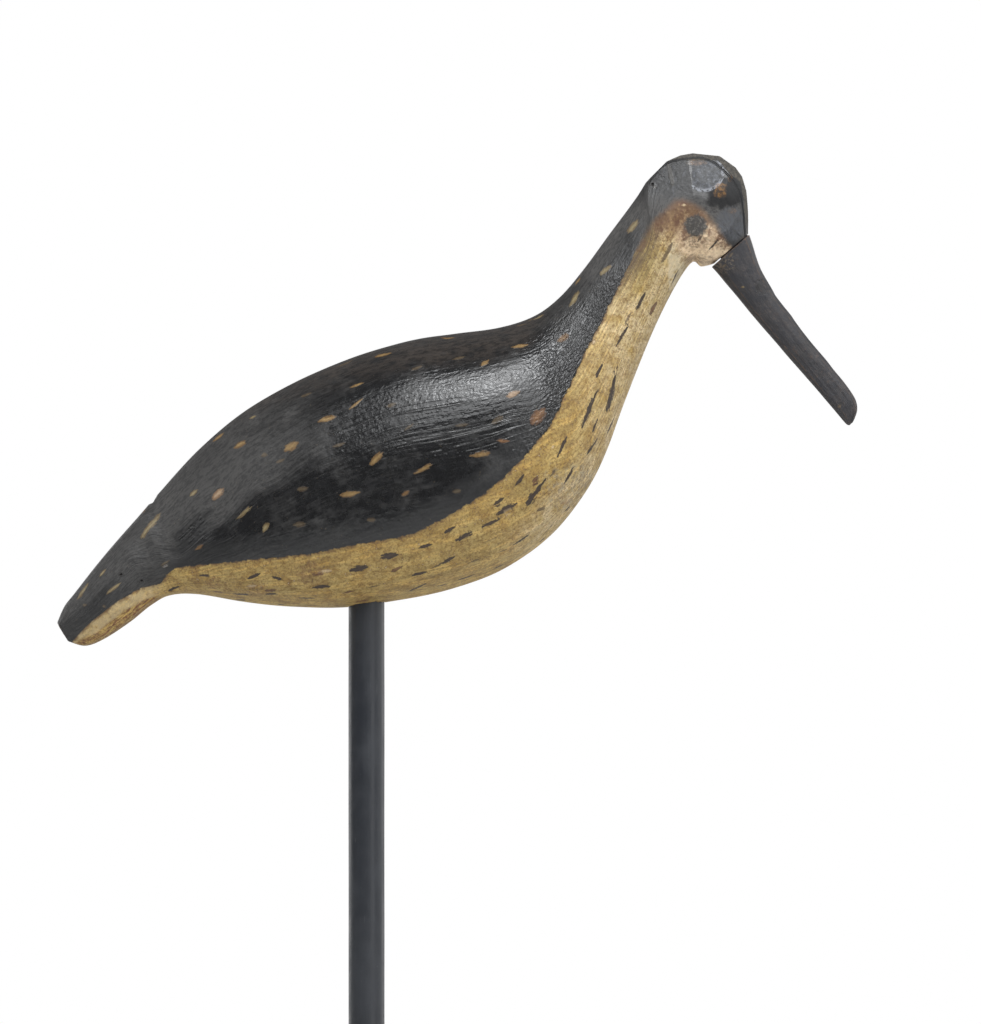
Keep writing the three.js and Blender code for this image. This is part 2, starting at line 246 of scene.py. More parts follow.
@dataclass
class Loft:
    """A carved form that runs through stations, in its own frame until placed.

    Attributes:
        stations: The cross-sections in order.
        points_per_flat: How many points each flat of a section gets.
        spacing: About how far apart the rings are.
        fine_from: The first station whose rings stand closer.
        fine_spacing: How far apart those rings are.
    """

    stations: Sequence[Station]
    points_per_flat: int
    spacing: float
    fine_from: int
    fine_spacing: float
    outlines: list[Array] = field(init=False)
    rails: Array = field(init=False)

    def __post_init__(self) -> None:
        """Samples the sections and gathers the outline's points."""
        self.outlines = [station.outline(self.points_per_flat) for station in self.stations]
        self.rails = np.array([(*s.top, *s.bottom, s.half) for s in self.stations], float)

    def places(self) -> list[float]:
        """Spreads the rings along the stations.

        Returns:
            Each ring's place, counted in stations.
        """
        places = [0.0]
        for index in range(len(self.stations) - 1):
            travel = self.rails[index + 1] - self.rails[index]
            longest = max(np.hypot(*travel[0:2]), np.hypot(*travel[2:4]))
            spacing = self.fine_spacing if index >= self.fine_from else self.spacing
            count = max(2, math.ceil(longest / spacing))
            places += [index + (step + 1) / count for step in range(count)]
        return places

    def ring(self, place: float) -> Array:
        """Works out one closed ring, from the top down the near side and up the far side.

        Args:
            place: Where the ring is, counted in stations.

        Returns:
            Rows of x, y, z, the first repeated at the end.
        """
        last = len(self.stations) - 1
        x1, z1, x0, z0, half = smooth_curve(self.rails, np.array([place / last]))[0]
        before = min(int(place), last)
        after = min(before + 1, last)
        share = smoothstep(place - before)
        outline = self.outlines[before] * (1 - share) + self.outlines[after] * share
        side, up = outline[:, 0], outline[:, 1]
        near = np.stack([x0 + (x1 - x0) * up, -half * side, z0 + (z1 - z0) * up], axis=1)
        far = near[::-1] * np.array((1, -1, 1))
        return np.vstack([near, far[1:]])

    def surface(self, place: float, share: float, side: int) -> Vector:
        """Finds a point on the surface.

        Args:
            place: Where along the form, counted in stations.
            share: How far from top to bottom, from 0 to 1.
            side: -1 for the near side and 1 for the far side.

        Returns:
            The point in the loft's own frame.
        """
        ring = self.ring(place)
        steps = (len(ring) - 1) // 2
        point = ring[round(share * steps)]
        return Vector((point[0], -side * point[1], point[2]))


# Mesh making

GRAIN = "grain"
RIDGE = "ridge"
BORDER = "border"
UPWARD = "upward"
SIDEWAYS = "sideways"
CROWN = "crown"
MARK_PLACE = "mark_place"
MARK_SIZE = "mark_size"
MARK_PAINT = "mark_paint"
GRAIN_RADIUS = 35 * MM
CALM = 0.35  # What is left of the knife's waves where the wood is smoother.
CARVED_SHARP = 24  # The angle in degrees from which a carved piece's edge stays sharp.
TURNED_SHARP = 40  # The same for a turned piece.


def lofted_mesh(loft: Loft, turn: Matrix) -> Mesh:
    """Rolls a flat grid into the loft's form, open at both ends.

    Args:
        loft: The form.
        turn: What brings the loft's own frame to its place.

    Returns:
        The mesh. Its grain layer holds each vertex's place on the form as if it were straight: how
        far along it lies, and where round a cylinder.
    """
    places = loft.places()
    rings = np.stack([loft.ring(place) for place in places])
    rows, columns = rings.shape[:2]
    middles = rings[:, :-1].mean(axis=1)
    steps = np.linalg.norm(np.diff(middles, axis=0), axis=1)
    along = np.concatenate([[0], np.cumsum(steps)])
    bm = bmesh.new()
    bm.loops.layers.uv.new("surface")
    grain = bm.verts.layers.float_vector.new(GRAIN)
    bmesh.ops.create_grid(bm, x_segments=columns - 1, y_segments=rows - 1, size=1, calc_uvs=True)
    for vert in bm.verts:
        column = round((vert.co.x + 1) / 2 * (columns - 1))
        row = round((vert.co.y + 1) / 2 * (rows - 1))
        angle = math.tau * column / (columns - 1)
        vert[grain] = Vector((along[row], GRAIN_RADIUS * math.sin(angle), GRAIN_RADIUS * math.cos(angle)))
        vert.co = Vector(rings[row, column])
    bmesh.ops.transform(bm, matrix=turn, verts=bm.verts)
    bmesh.ops.remove_doubles(bm, verts=bm.verts, dist=MERGE)
    return bm


def ring_edges(bm: Mesh, point: Vector) -> Edges:
    """Finds the open edge loop that lies nearest to a point.

    Args:
        bm: The mesh.
        point: A point near the loop's middle.

    Returns:
        The loop's edges.
    """
    left = {edge for edge in bm.edges if edge.is_boundary}
    loops = []
    while left:
        loop = [left.pop()]
        for edge in loop:
            joined = {e for vert in edge.verts for e in vert.link_edges if e in left}
            left -= joined
            loop += joined
        loops.append(loop)

    def distance(loop: Edges) -> float:
        """Returns how far the loop's middle is from the point."""
        middle = sum((vert.co for edge in loop for vert in edge.verts), Vector()) / (2 * len(loop))
        return (middle - point).length

    return min(loops, key=distance)


def extruded(bm: Mesh, edges: Edges) -> tuple[list, list]:
    """Extrudes an edge loop in place.

    Args:
        bm: The mesh.
        edges: The loop.

    Returns:
        The new vertices and the new edges.
    """
    made = bmesh.ops.extrude_edge_only(bm, edges=edges)["geom"]
    verts = [item for item in made if isinstance(item, bmesh.types.BMVert)]
    new = set(verts)
    loop = [e for e in made if isinstance(e, bmesh.types.BMEdge) and all(v in new for v in e.verts)]
    return verts, loop


def cap_end(bm: Mesh, edges: Edges, rings: int) -> None:
    """Closes an open end flat, with rings that shrink towards its middle.

    Args:
        bm: The mesh.
        edges: The open loop.
        rings: How many rings to put inside it.
    """
    loop = edges
    verts = {vert for edge in loop for vert in edge.verts}
    middle = sum((vert.co for vert in verts), Vector()) / len(verts)
    for ring in range(rings, 0, -1):
        verts, loop = extruded(bm, loop)
        shrink = Matrix.Scale(ring / (ring + 1), 4)
        around = Matrix.Translation(-middle)
        bmesh.ops.transform(bm, matrix=shrink, space=around, verts=verts)
    bmesh.ops.contextual_create(bm, geom=loop)


def stepped_end(
    bm: Mesh, edges: Edges, toward: Vector, share: float, step: Vector
) -> Edges:
    """Sets a smaller copy of an open end's outline in or out, as a rabbet does.

    Args:
        bm: The mesh.
        edges: The open loop.
        toward: The point that the outline shrinks towards.
        share: How large the smaller outline is.
        step: How far it is set in or out.

    Returns:
        The smaller open loop.
    """
    verts, loop = extruded(bm, edges)
    shrink = Matrix.Scale(share, 4)
    bmesh.ops.transform(bm, matrix=shrink, space=Matrix.Translation(-toward), verts=verts)
    verts, loop = extruded(bm, loop)
    bmesh.ops.translate(bm, vec=step, verts=verts)
    return loop


def socket_in_end(
    bm: Mesh,
    edges: Edges,
    middle: Vector,
    axis: Vector,
    radius: float,
    depth: float,
) -> None:
    """Closes an open end with a flat face that has a round blind hole in it.

    Args:
        bm: The mesh.
        edges: The open loop.
        middle: The hole's middle, on the flat face.
        axis: The way the hole runs, into the wood.
        radius: The hole's radius.
        depth: The hole's depth.
    """
    verts, loop = extruded(bm, edges)
    for vert in verts:
        out = vert.co - middle
        out -= axis * out.dot(axis)
        vert.co = middle + out.normalized() * radius
    verts, loop = extruded(bm, loop)
    bmesh.ops.translate(bm, vec=axis * depth, verts=verts)
    bmesh.ops.contextual_create(bm, geom=loop)


def cut_flat(bm: Mesh, point: Vector, facing: Vector, reach: float) -> None:
    """Shaves the form down to a flat, with a crisp edge round it.

    Args:
        bm: The mesh.
        point: A point on the flat.
        facing: The way the flat faces.
        reach: How far from the point the knife reaches.
    """
    faces = [f for f in bm.faces if (f.calc_center_median() - point).length < reach]
    edges = {edge for face in faces for edge in face.edges}
    verts = {vert for face in faces for vert in face.verts}
    geom = [*verts, *edges, *faces]
    bmesh.ops.bisect_plane(bm, geom=geom, dist=SNAP, plane_co=point, plane_no=facing)
    for vert in bm.verts:
        out = (vert.co - point).dot(facing)
        if out > 0 and (vert.co - point).length < reach:
            vert.co -= facing * out


@dataclass(frozen=True)
class Waves:
    """Slight waves in a carved surface.

    Attributes:
        length: About how long they are.
        height: How high they are, in millimetres.
    """

    length: float
    height: float

    def at(self, place: Vector) -> float:
        """Returns how far the surface stands out at a place, in millimetres."""
        return noise.noise(place / self.length) * self.height


def roughen(bm: Mesh, broad: Waves, fine: Waves, stretch: float, calm_from: float = math.inf) -> None:
    """Adds the slight waves that the knife and the rasp left.

    Args:
        bm: The mesh.
        broad: The waves that run every way.
        fine: The waves that run along the grain.
        stretch: How many times longer the fine ones are along the grain.
        calm_from: The x from which the wood is smoother.
    """
    grain = bm.verts.layers.float_vector[GRAIN]
    bm.normal_update()
    for vert in bm.verts:
        straight = vert[grain]
        along = Vector((straight.x / stretch, straight.y, straight.z))
        share = CALM if vert.co.x > calm_from else 1
        vert.co += vert.normal * (broad.at(vert.co) + fine.at(along)) * share * MM


def mesh_arrays(bm: Mesh) -> tuple[Array, Array]:
    """Returns the vertices' places and normals as two arrays."""
    bm.normal_update()
    places = np.array([vert.co for vert in bm.verts])
    normals = np.array([vert.normal for vert in bm.verts])
    return places, normals


def ridge_values(bm: Mesh, spread: int) -> Array:
    """Measures how sharply each vertex stands out from its neighbours.

    Args:
        bm: The mesh.
        spread: How many times the result is averaged with the neighbours.

    Returns:
        One value for each vertex, above 0 on an outer edge.
    """
    places, normals = mesh_arrays(bm)
    a, b = edge_ends(bm)
    step = places[b] - places[a]
    step /= np.maximum(np.linalg.norm(step, axis=1), TINY)[:, None]
    total = np.zeros(len(places))
    count = np.zeros(len(places))
    np.add.at(total, a, -(step * normals[a]).sum(axis=1))
    np.add.at(total, b, (step * normals[b]).sum(axis=1))
    np.add.at(count, a, 1)
    np.add.at(count, b, 1)
    return blurred(bm, total / count, spread)


def edge_ends(bm: Mesh) -> tuple[Array, Array]:
    """Returns the numbers of the two vertices of each edge."""
    bm.verts.index_update()
    ends = np.array([(edge.verts[0].index, edge.verts[1].index) for edge in bm.edges])
    return ends[:, 0], ends[:, 1]


def blurred(bm: Mesh, values: Array, times: int) -> Array:
    """Averages each vertex's value with its neighbours' values.

    Args:
        bm: The mesh.
        values: One value for each vertex.
        times: How many times it is done.

    Returns:
        The new values.
    """
    a, b = edge_ends(bm)
    count = np.bincount(np.concatenate([a, b]), minlength=len(values))
    for _ in range(times):
        around = np.bincount(a, values[b], len(values)) + np.bincount(b, values[a], len(values))
        values = (values + around / count) / 2
    return values


class Stored(Enum):
    """The kinds of attributes, with the name of their data."""

    NUMBER = ("FLOAT", "value")
    VECTOR = ("FLOAT_VECTOR", "vector")
    COLOUR = ("FLOAT_COLOR", "color")


def write(mesh: bpy.types.Mesh, name: str, values: Array, kind: Stored = Stored.NUMBER) -> None:
    """Stores a number, vector or colour for each vertex as an attribute.

    Args:
        mesh: The mesh.
        name: The attribute's name.
        values: One number or row for each vertex.
        kind: What it stores.
    """
    kind_name, data_name = kind.value
    layer = mesh.attributes.new(name, kind_name, "POINT")
    layer.data.foreach_set(data_name, values.astype(np.float32).ravel())


def finished_piece(bm: Mesh, name: str, sharp_degrees: float) -> Piece:
    """Turns a mesh into a smooth-shaded object whose sharp edges stay sharp.

    Args:
        bm: The mesh, which is freed.
        name: The object's name.
        sharp_degrees: The angle from which an edge stays sharp.

    Returns:
        The object, in the scene.
    """
    bmesh.ops.recalc_face_normals(bm, faces=bm.faces)
    for face in bm.faces:
        face.smooth = True
    for edge in bm.edges:
        edge.smooth = edge.calc_face_angle(0) < math.radians(sharp_degrees)
    mesh = bpy.data.meshes.new(name)
    bm.to_mesh(mesh)
    bm.free()
    piece = bpy.data.objects.new(name, mesh)
    bpy.context.scene.collection.objects.link(piece)
    return piece


# Painted marks

class Tone(Enum):
    """The colours of the small painted marks and worn spots, with their strength. The darkest is painted
    shade inside holes; the grey one is a painted highlight on a hole's rim and also a light scratch.
    """

    TAN = (0.38, 0.245, 0.09, 0.8)
    STRAW = (0.36, 0.29, 0.15, 0.8)
    ORANGE = (0.27, 0.15, 0.05, 0.72)
    PINK = (0.46, 0.32, 0.20, 0.9)
    DULL = (0.19, 0.14, 0.075, 0.5)
    BROWN = (0.30, 0.145, 0.048, 0.72)
    RUST = (0.15, 0.05, 0.018, 0.85)
    PALE = (0.68, 0.53, 0.32, 0.85)
    FLECK = (0.036, 0.018, 0.010, 0.97)
    SOFT_FLECK = (0.075, 0.042, 0.022, 0.72)
    DUST = (0.15, 0.145, 0.13, 0.35)
    # Painted shade: the dark inside of nail holes and small nicks.
    HOLE_SHADE = (0.012, 0.010, 0.009, 0.75)
    # A painted highlight on the lit rim of a nail hole, and also a light scratch.
    GLINT_AND_SCRATCH = (0.38, 0.38, 0.38, 0.6)


@dataclass(frozen=True)
class Dab:
    """A painted mark as the photograph shows it, in pixels and degrees.

    Attributes:
        column: The middle's pixel column.
        row: The middle's pixel row.
        length: The mark's length.
        width: The mark's width.
        tilt: How far it leans up from level, to the right.
        swell: How much wider its upper end is than its middle, below 0 for the lower end.
    """

    column: float
    row: float
    length: float
    width: float = 3
    tilt: float = 0
    swell: float = 0


# The small marks of the body, each where its middle lies in the photograph.
BODY_MARKS: dict[Tone, tuple[Dab, ...]] = {
    Tone.TAN: (
        Dab(383, 355, 17, 6, 12), Dab(357, 385, 14, 4, 20), Dab(327, 419, 18, 6, 14),
        Dab(240, 444.5, 13, 7, 25), Dab(291, 446.5, 16, 9, 28), Dab(376, 459, 18, 6, 44),
        Dab(423, 469, 20, 4.5, 28, 0.3), Dab(350, 494, 20, 5.5, 10),
        Dab(520, 346, 17, 5.5, 8), Dab(480, 454.5, 20, 6.5, 8, 0.3),
        Dab(485, 363, 9, 5, 38), Dab(356, 404, 18, 3, 40),
    ),
    Tone.STRAW: (
        Dab(151, 526, 31, 6.5, 52, -0.15), Dab(574, 299, 18, 6, 58),
        Dab(633, 226.5, 16, 6.5, 52), Dab(605, 270.5, 14, 6, 42), Dab(83, 591, 20, 5, 55),
        Dab(114, 588, 18, 3, 38), Dab(244, 513, 19, 4.5, 38, 0.4),
        Dab(265.5, 527.5, 10, 5.5, 50), Dab(539, 317, 9, 5, 30),
        Dab(102.5, 573, 9, 2.5, 50), Dab(193.5, 493, 10, 4.5, 40),
        Dab(253, 417, 6, 4, 20),
    ),
    Tone.ORANGE: (
        Dab(446, 338, 11, 3, -5), Dab(405.5, 493.5, 9, 4, 35),
        Dab(199, 547.5, 9, 3.5, 35), Dab(563, 338, 13, 6, 38),
    ),
    Tone.PINK: (Dab(218, 494, 15, 7, 42), Dab(513, 394, 14, 6, 20)),
    Tone.BROWN: (Dab(538, 416, 20, 11, 50), Dab(503.5, 441, 13, 3.5, -3)),
    Tone.DULL: (
        Dab(306, 395, 13, 4, 20), Dab(264, 455, 6, 4.5, 0), Dab(280, 461, 10, 3.2, 25),
        Dab(339, 445, 13, 3, 18), Dab(302, 489, 12, 4.5, 10), Dab(371, 520, 9, 4, 0),
        Dab(299, 524.5, 13, 5, 5), Dab(391, 405, 10, 4, 20), Dab(417, 368, 12, 4, 20),
        Dab(459, 358, 13, 4, 12), Dab(521, 325, 9, 4, 10), Dab(457, 491, 9, 4, 5),
        Dab(409, 427, 12, 2.5, 35), Dab(462, 425, 14, 3, 6), Dab(497, 420, 15, 5, 30),
        Dab(104, 606.5, 3.5, 3), Dab(84.6, 605, 4, 3), Dab(165, 563, 10, 2, 30),
    ),
    Tone.RUST: (
        Dab(219, 592, 11, 4, -10), Dab(271, 590, 13, 3, 0), Dab(319, 574.5, 18, 2.5, 4),
        Dab(362, 601, 12, 5, 10), Dab(535, 480, 9, 4, 55), Dab(653, 309, 15, 5, 60),
        Dab(349, 592, 13, 3, 12), Dab(397, 569, 12, 4, 25),
    ),
    Tone.PALE: (
        Dab(326, 571, 13, 4, 4), Dab(252, 586, 10, 3.5, 5), Dab(684, 205, 4, 3, 0),
        Dab(508, 514, 8, 2, 25), Dab(553, 447, 4, 3, 50), Dab(594, 342, 5, 3, 60),
    ),
    Tone.FLECK: (
        Dab(675, 277, 14, 3, 65), Dab(641, 301, 20, 3.2, 62), Dab(622, 336, 24, 2.8, 60),
        Dab(599, 370.5, 16, 3.6, 64), Dab(612, 389, 46, 9, 78, -0.7),
        Dab(590, 407, 44, 5.5, 67, -0.45), Dab(595, 425, 16, 2.8, 68),
        Dab(610, 427, 17, 2.6, 66), Dab(562, 447, 23, 3, 65),
        Dab(591.6, 447, 20, 3.2, 58), Dab(569, 475.5, 20, 3.2, 60),
        Dab(536, 492, 32, 8.5, 54, -0.7), Dab(520, 480, 14, 3.4, 50),
        Dab(499, 501.5, 14, 3.2, 35), Dab(506.5, 508.5, 23, 5.4, 26),
        Dab(490.5, 523, 21, 3.6, 22), Dab(463.5, 536.5, 20, 6, 27, 0.3),
        Dab(450, 529.5, 14, 3.2, 32), Dab(425.5, 546, 15, 3.2, 18),
        Dab(389, 556, 18, 6, 12), Dab(448, 560, 17, 3.4, 28),
        Dab(521, 540, 20, 5, 33, 0.2), Dab(467, 577, 20, 3.4, 18),
        Dab(418, 587, 21, 3.2, 26), Dab(205, 575.5, 11, 2.8, 0),
        Dab(254, 576, 13, 3.6, 22), Dab(276.5, 578, 11, 3, -14), Dab(242, 594, 19, 4, -3),
        Dab(271, 594, 14, 3.4, 2), Dab(321, 587, 19, 4.2, 4),
        Dab(358.5, 568.5, 19, 6.5, 12), Dab(306, 598, 20, 2.6, -2),
        Dab(420, 573.5, 17, 3.6, 14), Dab(173, 589, 13, 2.6, 25),
        Dab(713, 245, 14, 2, 50),
    ),
    Tone.SOFT_FLECK: (
        Dab(667, 253, 22, 4, 60), Dab(553, 473, 11, 3, 55), Dab(594, 471, 16, 2, 60),
        Dab(549, 528, 24, 2.2, 50), Dab(490.5, 540, 15, 2, 20), Dab(502, 551, 14, 2, 22),
        Dab(474, 561, 14, 3, 20), Dab(372, 587, 14, 2, 12), Dab(541, 509, 10, 3.5, 15),
        Dab(628, 318, 12, 2.6, 60), Dab(700, 238, 9, 2, 55), Dab(436, 566, 10, 2.4, 25),
        Dab(668, 299, 10, 2.4, 60),
    ),
    Tone.DUST: (Dab(670.5, 175, 24, 3.6, -78),),
    Tone.HOLE_SHADE: (
        # Painted shade inside the nail holes of the nape and the tail.
        Dab(652.5, 184, 2.5, 4.5, 60), Dab(121, 574.5, 2, 4), Dab(141.5, 581, 2, 3.6, 30),
    ),
    # A painted highlight on the lower rim of the nape's nail hole, and a light scratch on the tail.
    Tone.GLINT_AND_SCRATCH: (Dab(654.5, 187.5, 3, 1.2, 40), Dab(165.5, 566.5, 6, 1.4, 25)),
}
NAIL_HOLES = BODY_MARKS[Tone.HOLE_SHADE]

BILL_MARKS: dict[Tone, tuple[Dab, ...]] = {
    # Painted shade inside the bill's small holes and nicks.
    Tone.HOLE_SHADE: (
        Dab(761, 286, 7, 2.6, -35), Dab(757, 290, 5, 1.6, -60), Dab(840.5, 403.5, 2, 3.4),
    ),
    Tone.DULL: (
        Dab(839.5, 406.5, 4, 3, 20), Dab(731, 255, 7, 2.4, 50), Dab(724, 266, 6, 2.4, 40),
    ),
    Tone.STRAW: (Dab(743, 287, 2.6, 2),),
}

# Where the black back meets the pale belly, from the tail to the bill.
BORDER_LINE: tuple[Pair, ...] = (
    (73, 641), (87, 626), (100, 615), (120, 600), (131, 594.5), (139, 589), (150, 586), (160, 584),
    (165, 577), (172, 571), (181, 567.5), (196, 565.5), (216, 563.5), (252, 560), (309, 554), (354, 545),
    (400, 537), (421, 530), (462, 508), (494, 486), (523, 458), (549, 427), (564, 398), (578, 368),
    (592, 339), (603, 319), (614, 296), (625, 274), (636, 251), (652, 224), (664, 212), (680, 200),
    (700, 208), (715, 225), (725, 240), (731, 247),
)
# Closes that line round the pale side.
BORDER_RETURN: tuple[Pair, ...] = ((1100, 300), (1100, 1100), (60, 1100), (70, 645))
# The dark line where the crown's flats meet the head's side, from the nape to the bill.
CROWN_LINE: tuple[Pair, ...] = (
    (655, 171), (661, 167), (669, 162.5), (677, 160), (686.5, 158.5), (696, 157.5), (704, 158.5),
    (712, 161.5), (719, 166.5), (729, 176), (736.5, 187), (741, 198), (743.3, 212), (744.3, 226),
    (745.5, 240),
)


@dataclass
class Mark:
    """A mark on the surface, in the object's own frame.

    Attributes:
        middle: Its middle.
        along: The way it runs, of length 1.
        across: The way across it on the surface, of length 1.
        half_length: Half its length between its round ends' middles.
        half_width: Half its width.
        swell: How much wider its front end is than its middle.
        tone: Its colour.
    """

    middle: Vector
    along: Vector
    across: Vector
    half_length: float
    half_width: float
    swell: float
    tone: Tone


def mark_between(start: Vector, end: Vector, normal: Vector, width: float, swell: float, tone: Tone) -> Mark:
    """Lays a mark on the surface between two points.

    Args:
        start: Where it starts.
        end: Where it ends.
        normal: The way the surface faces there.
        width: Its width.
        swell: How much wider its front end is than its middle.
        tone: Its colour.

    Returns:
        The mark.
    """
    along = (end - start).normalized()
    across = normal.cross(along).normalized()
    half_length = max((end - start).length / 2 - width / 2, 0)
    return Mark((start + end) / 2, along, across, half_length, width / 2, swell, tone)


class Painter:
    """Lays painted marks on a carved piece and stores them as attributes for its shader.

    Attributes:
        REACH: How far round a mark its place is stored.
        DEEPEST: How far off the mark's plane.
        FAR: The gap that is stored where no mark is near, in millimetres.
    """

    REACH = 3.5 * MM
    DEEPEST = 4 * MM
    FAR = 10.0

    def __init__(self, bm: Mesh, seed: int) -> None:
        """Gets ready to cast marks onto a finished mesh, with a seed for the far side's differences."""
        self.tree = BVHTree.FromBMesh(bm)
        self.random = random.Random(seed)
        self.marks: list[Mark] = []

    def cast(self, column: float, row: float) -> tuple[Vector, Vector] | None:
        """Follows the camera's ray through a pixel.

        Args:
            column: The pixel's column.
            row: The pixel's row.

        Returns:
            The point and normal where it meets the piece, or None where it misses.
        """
        eye = PHOTO.eye()
        target = PHOTO.on_middle_plane(column, row)
        place, normal, _, _ = self.tree.ray_cast(eye, (target - eye).normalized())
        return None if place is None else (place, normal)

    def lay(self, seen: Dab, tone: Tone, mirrored: bool) -> None:
        """Puts a mark on the near side, or one much like it on the far side.

        Args:
            seen: The mark as the photograph shows it.
            tone: Its colour.
            mirrored: Whether it goes on the far side.
        """
        column, row, length, tilt = seen.column, seen.row, seen.length, seen.tilt
        if mirrored:
            column += self.random.uniform(-6, 6)
            row += self.random.uniform(-4, 4)
            length *= self.random.uniform(0.8, 1.2)
            tilt += self.random.uniform(-9, 9)
        middle = self.cast(column, row)
        if middle is None:
            return
        half = max(length, seen.width) / 2
        step = Vector((math.cos(math.radians(tilt)), -math.sin(math.radians(tilt)))) * half
        ends = [self.cast(column + side * step.x, row + side * step.y) or middle for side in (-1, 1)]
        start, end = (place for place, _ in ends)
        normal = middle[1]
        if (end - start).length < seen.width * PHOTO.pixel / 2:
            return
        if mirrored:
            flip = Matrix.Diagonal((1, -1, 1))
            start, end, normal = flip @ start, flip @ end, flip @ normal
        self.marks.append(mark_between(start, end, normal, seen.width * PHOTO.pixel, seen.swell, tone))

    def lay_all(self, marks: dict[Tone, tuple[Dab, ...]]) -> None:
        """Lays a table of marks on both sides."""
        for tone, group in marks.items():
            for seen in group:
                self.lay(seen, tone, mirrored=False)
                self.lay(seen, tone, mirrored=True)

    def write(self, mesh: bpy.types.Mesh) -> None:
        """Stores for each vertex its place in the nearest mark, and that mark's size and colour."""
        count = len(mesh.vertices)
        kd = KDTree(count)
        for vert in mesh.vertices:
            kd.insert(vert.co, vert.index)
        kd.balance()
        place = np.full((count, 3), self.FAR)
        size = np.zeros((count, 3))
        paint = np.zeros((count, 4))
        for mark in self.marks:
            for co, index, _ in kd.find_range(mark.middle, mark.half_length + mark.half_width + self.REACH):
                out = co - mark.middle
                along, across = out.dot(mark.along), out.dot(mark.across)
                beyond = max(abs(along) - mark.half_length, 0)
                depth = (out - mark.along * along - mark.across * across).length
                gap = math.hypot(beyond, across) - mark.half_width
                if depth < self.DEEPEST and gap / MM < place[index, 2]:
                    place[index] = along / MM, across / MM, gap / MM
                    size[index] = mark.half_length / MM, mark.half_width / MM, mark.swell
                    paint[index] = mark.tone.value
        write(mesh, MARK_PLACE, place, Stored.VECTOR)
        write(mesh, MARK_SIZE, size, Stored.VECTOR)
        write(mesh, MARK_PAINT, paint, Stored.COLOUR)


def line_distances(pixels: Array, line: Array) -> Array:
    """Measures how far each pixel lies from a line through points.

    Args:
        pixels: Rows of column, row.
        line: The line's points.

    Returns:
        One distance for each pixel, in pixels.
    """
    nearest = np.full(len(pixels), np.inf)
    for a, b in zip(line[:-1], line[1:]):
        step = b - a
        share = np.clip(((pixels - a) @ step) / (step @ step), 0, 1)
        nearest = np.minimum(nearest, np.hypot(*(pixels - a - share[:, None] * step).T))
    return nearest


def enclosed(pixels: Array, outline: Array) -> Array:
    """Finds which pixels lie inside a closed outline.

    Args:
        pixels: Rows of column, row.
        outline: The outline's corners.

    Returns:
        One truth value for each pixel.
    """
    inside = np.zeros(len(pixels), bool)
    for a, b in zip(outline, np.roll(outline, -1, axis=0)):
        if a[1] == b[1]:
            continue
        crosses = (a[1] > pixels[:, 1]) != (b[1] > pixels[:, 1])
        at = a[0] + (pixels[:, 1] - a[1]) / (b[1] - a[1]) * (b[0] - a[0])
        inside ^= crosses & (pixels[:, 0] < at)
    return inside


def through(corners: Sequence[Pair]) -> Array:
    """Returns a smooth line's points from a few of them."""
    return smooth_curve(np.array(corners), np.linspace(0, 1, 6 * len(corners)))


def crown_distances(points: Array) -> Array:
    """Returns how many millimetres each point lies from the dark line round the crown, below 0 inside it."""
    pixels, line = PHOTO.pixels_of(points), through(CROWN_LINE)
    nearest = line_distances(pixels, line)
    return np.where(enclosed(pixels, line), -nearest, nearest) * PHOTO.pixel / MM


def border_distances(points: Array) -> Array:
    """Measures how far each point lies from the line where the dark back meets the pale belly.

    Args:
        points: Rows of x, y, z.

    Returns:
        Millimetres as seen from the side, above 0 on the dark back.
    """
    pixels = PHOTO.pixels_of(points)
    far = np.clip(points[:, 1] / (12 * MM), 0, 1)
    sway = [3 * noise.noise(Vector(p) * 45) + 1.5 * noise.noise(Vector(p) * 160) for p in points]
    pixels[:, 1] += np.array(sway) * far
    line = through(BORDER_LINE)
    nearest = line_distances(pixels, line)
    pale = enclosed(pixels, np.vstack([line, BORDER_RETURN]))
    return np.where(pale, -nearest, nearest) * PHOTO.pixel / MM


# Shader expressions

Operand = "Value | float"


def maths(operation: str, reflected: bool = False) -> Callable[["Value", Operand], "Value"]:
    """Makes an operator of two numbers.

    Args:
        operation: What the Math node does.
        reflected: Whether the value comes second.

    Returns:
        The operator.
    """

    def apply(value: "Value", other: Operand) -> "Value":
        """Adds the Math node."""
        operands = (other, value) if reflected else (value, other)
        return value.shader.math(operation, *operands)

    return apply


class Value:
    """A number, vector or colour that flows out of a shader node, with Python's operators."""

    def __init__(self, shader: "Shader", socket: bpy.types.NodeSocket) -> None:
        """Wraps a socket of a shader."""
        self.shader = shader
        self.socket = socket

    __add__ = __radd__ = maths("ADD")
    __sub__, __rsub__ = maths("SUBTRACT"), maths("SUBTRACT", reflected=True)
    __mul__ = __rmul__ = maths("MULTIPLY")
    __truediv__, __rtruediv__ = maths("DIVIDE"), maths("DIVIDE", reflected=True)
    __pow__ = maths("POWER")
    least = maths("MINIMUM")
    most = maths("MAXIMUM")

    def __abs__(self) -> "Value":
        """Drops the sign."""
        return self.shader.math("ABSOLUTE", self)

    def root(self) -> "Value":
        """Returns the square root."""
        return self.shader.math("SQRT", self)

    def step(self, low: float, high: float) -> "Value":
        """Eases from 0 at low to 1 at high.

        Args:
            low: The value that gives 0. It may be above high.
            high: The value that gives 1.

        Returns:
            A share from 0 to 1.
        """
        if low > high:
            return 1 - self.step(high, low)
        settings = {"interpolation_type": "SMOOTHSTEP"}
        inputs = {"Value": self, "From Min": low, "From Max": high}
        return self.shader.node("ShaderNodeMapRange", settings, inputs)


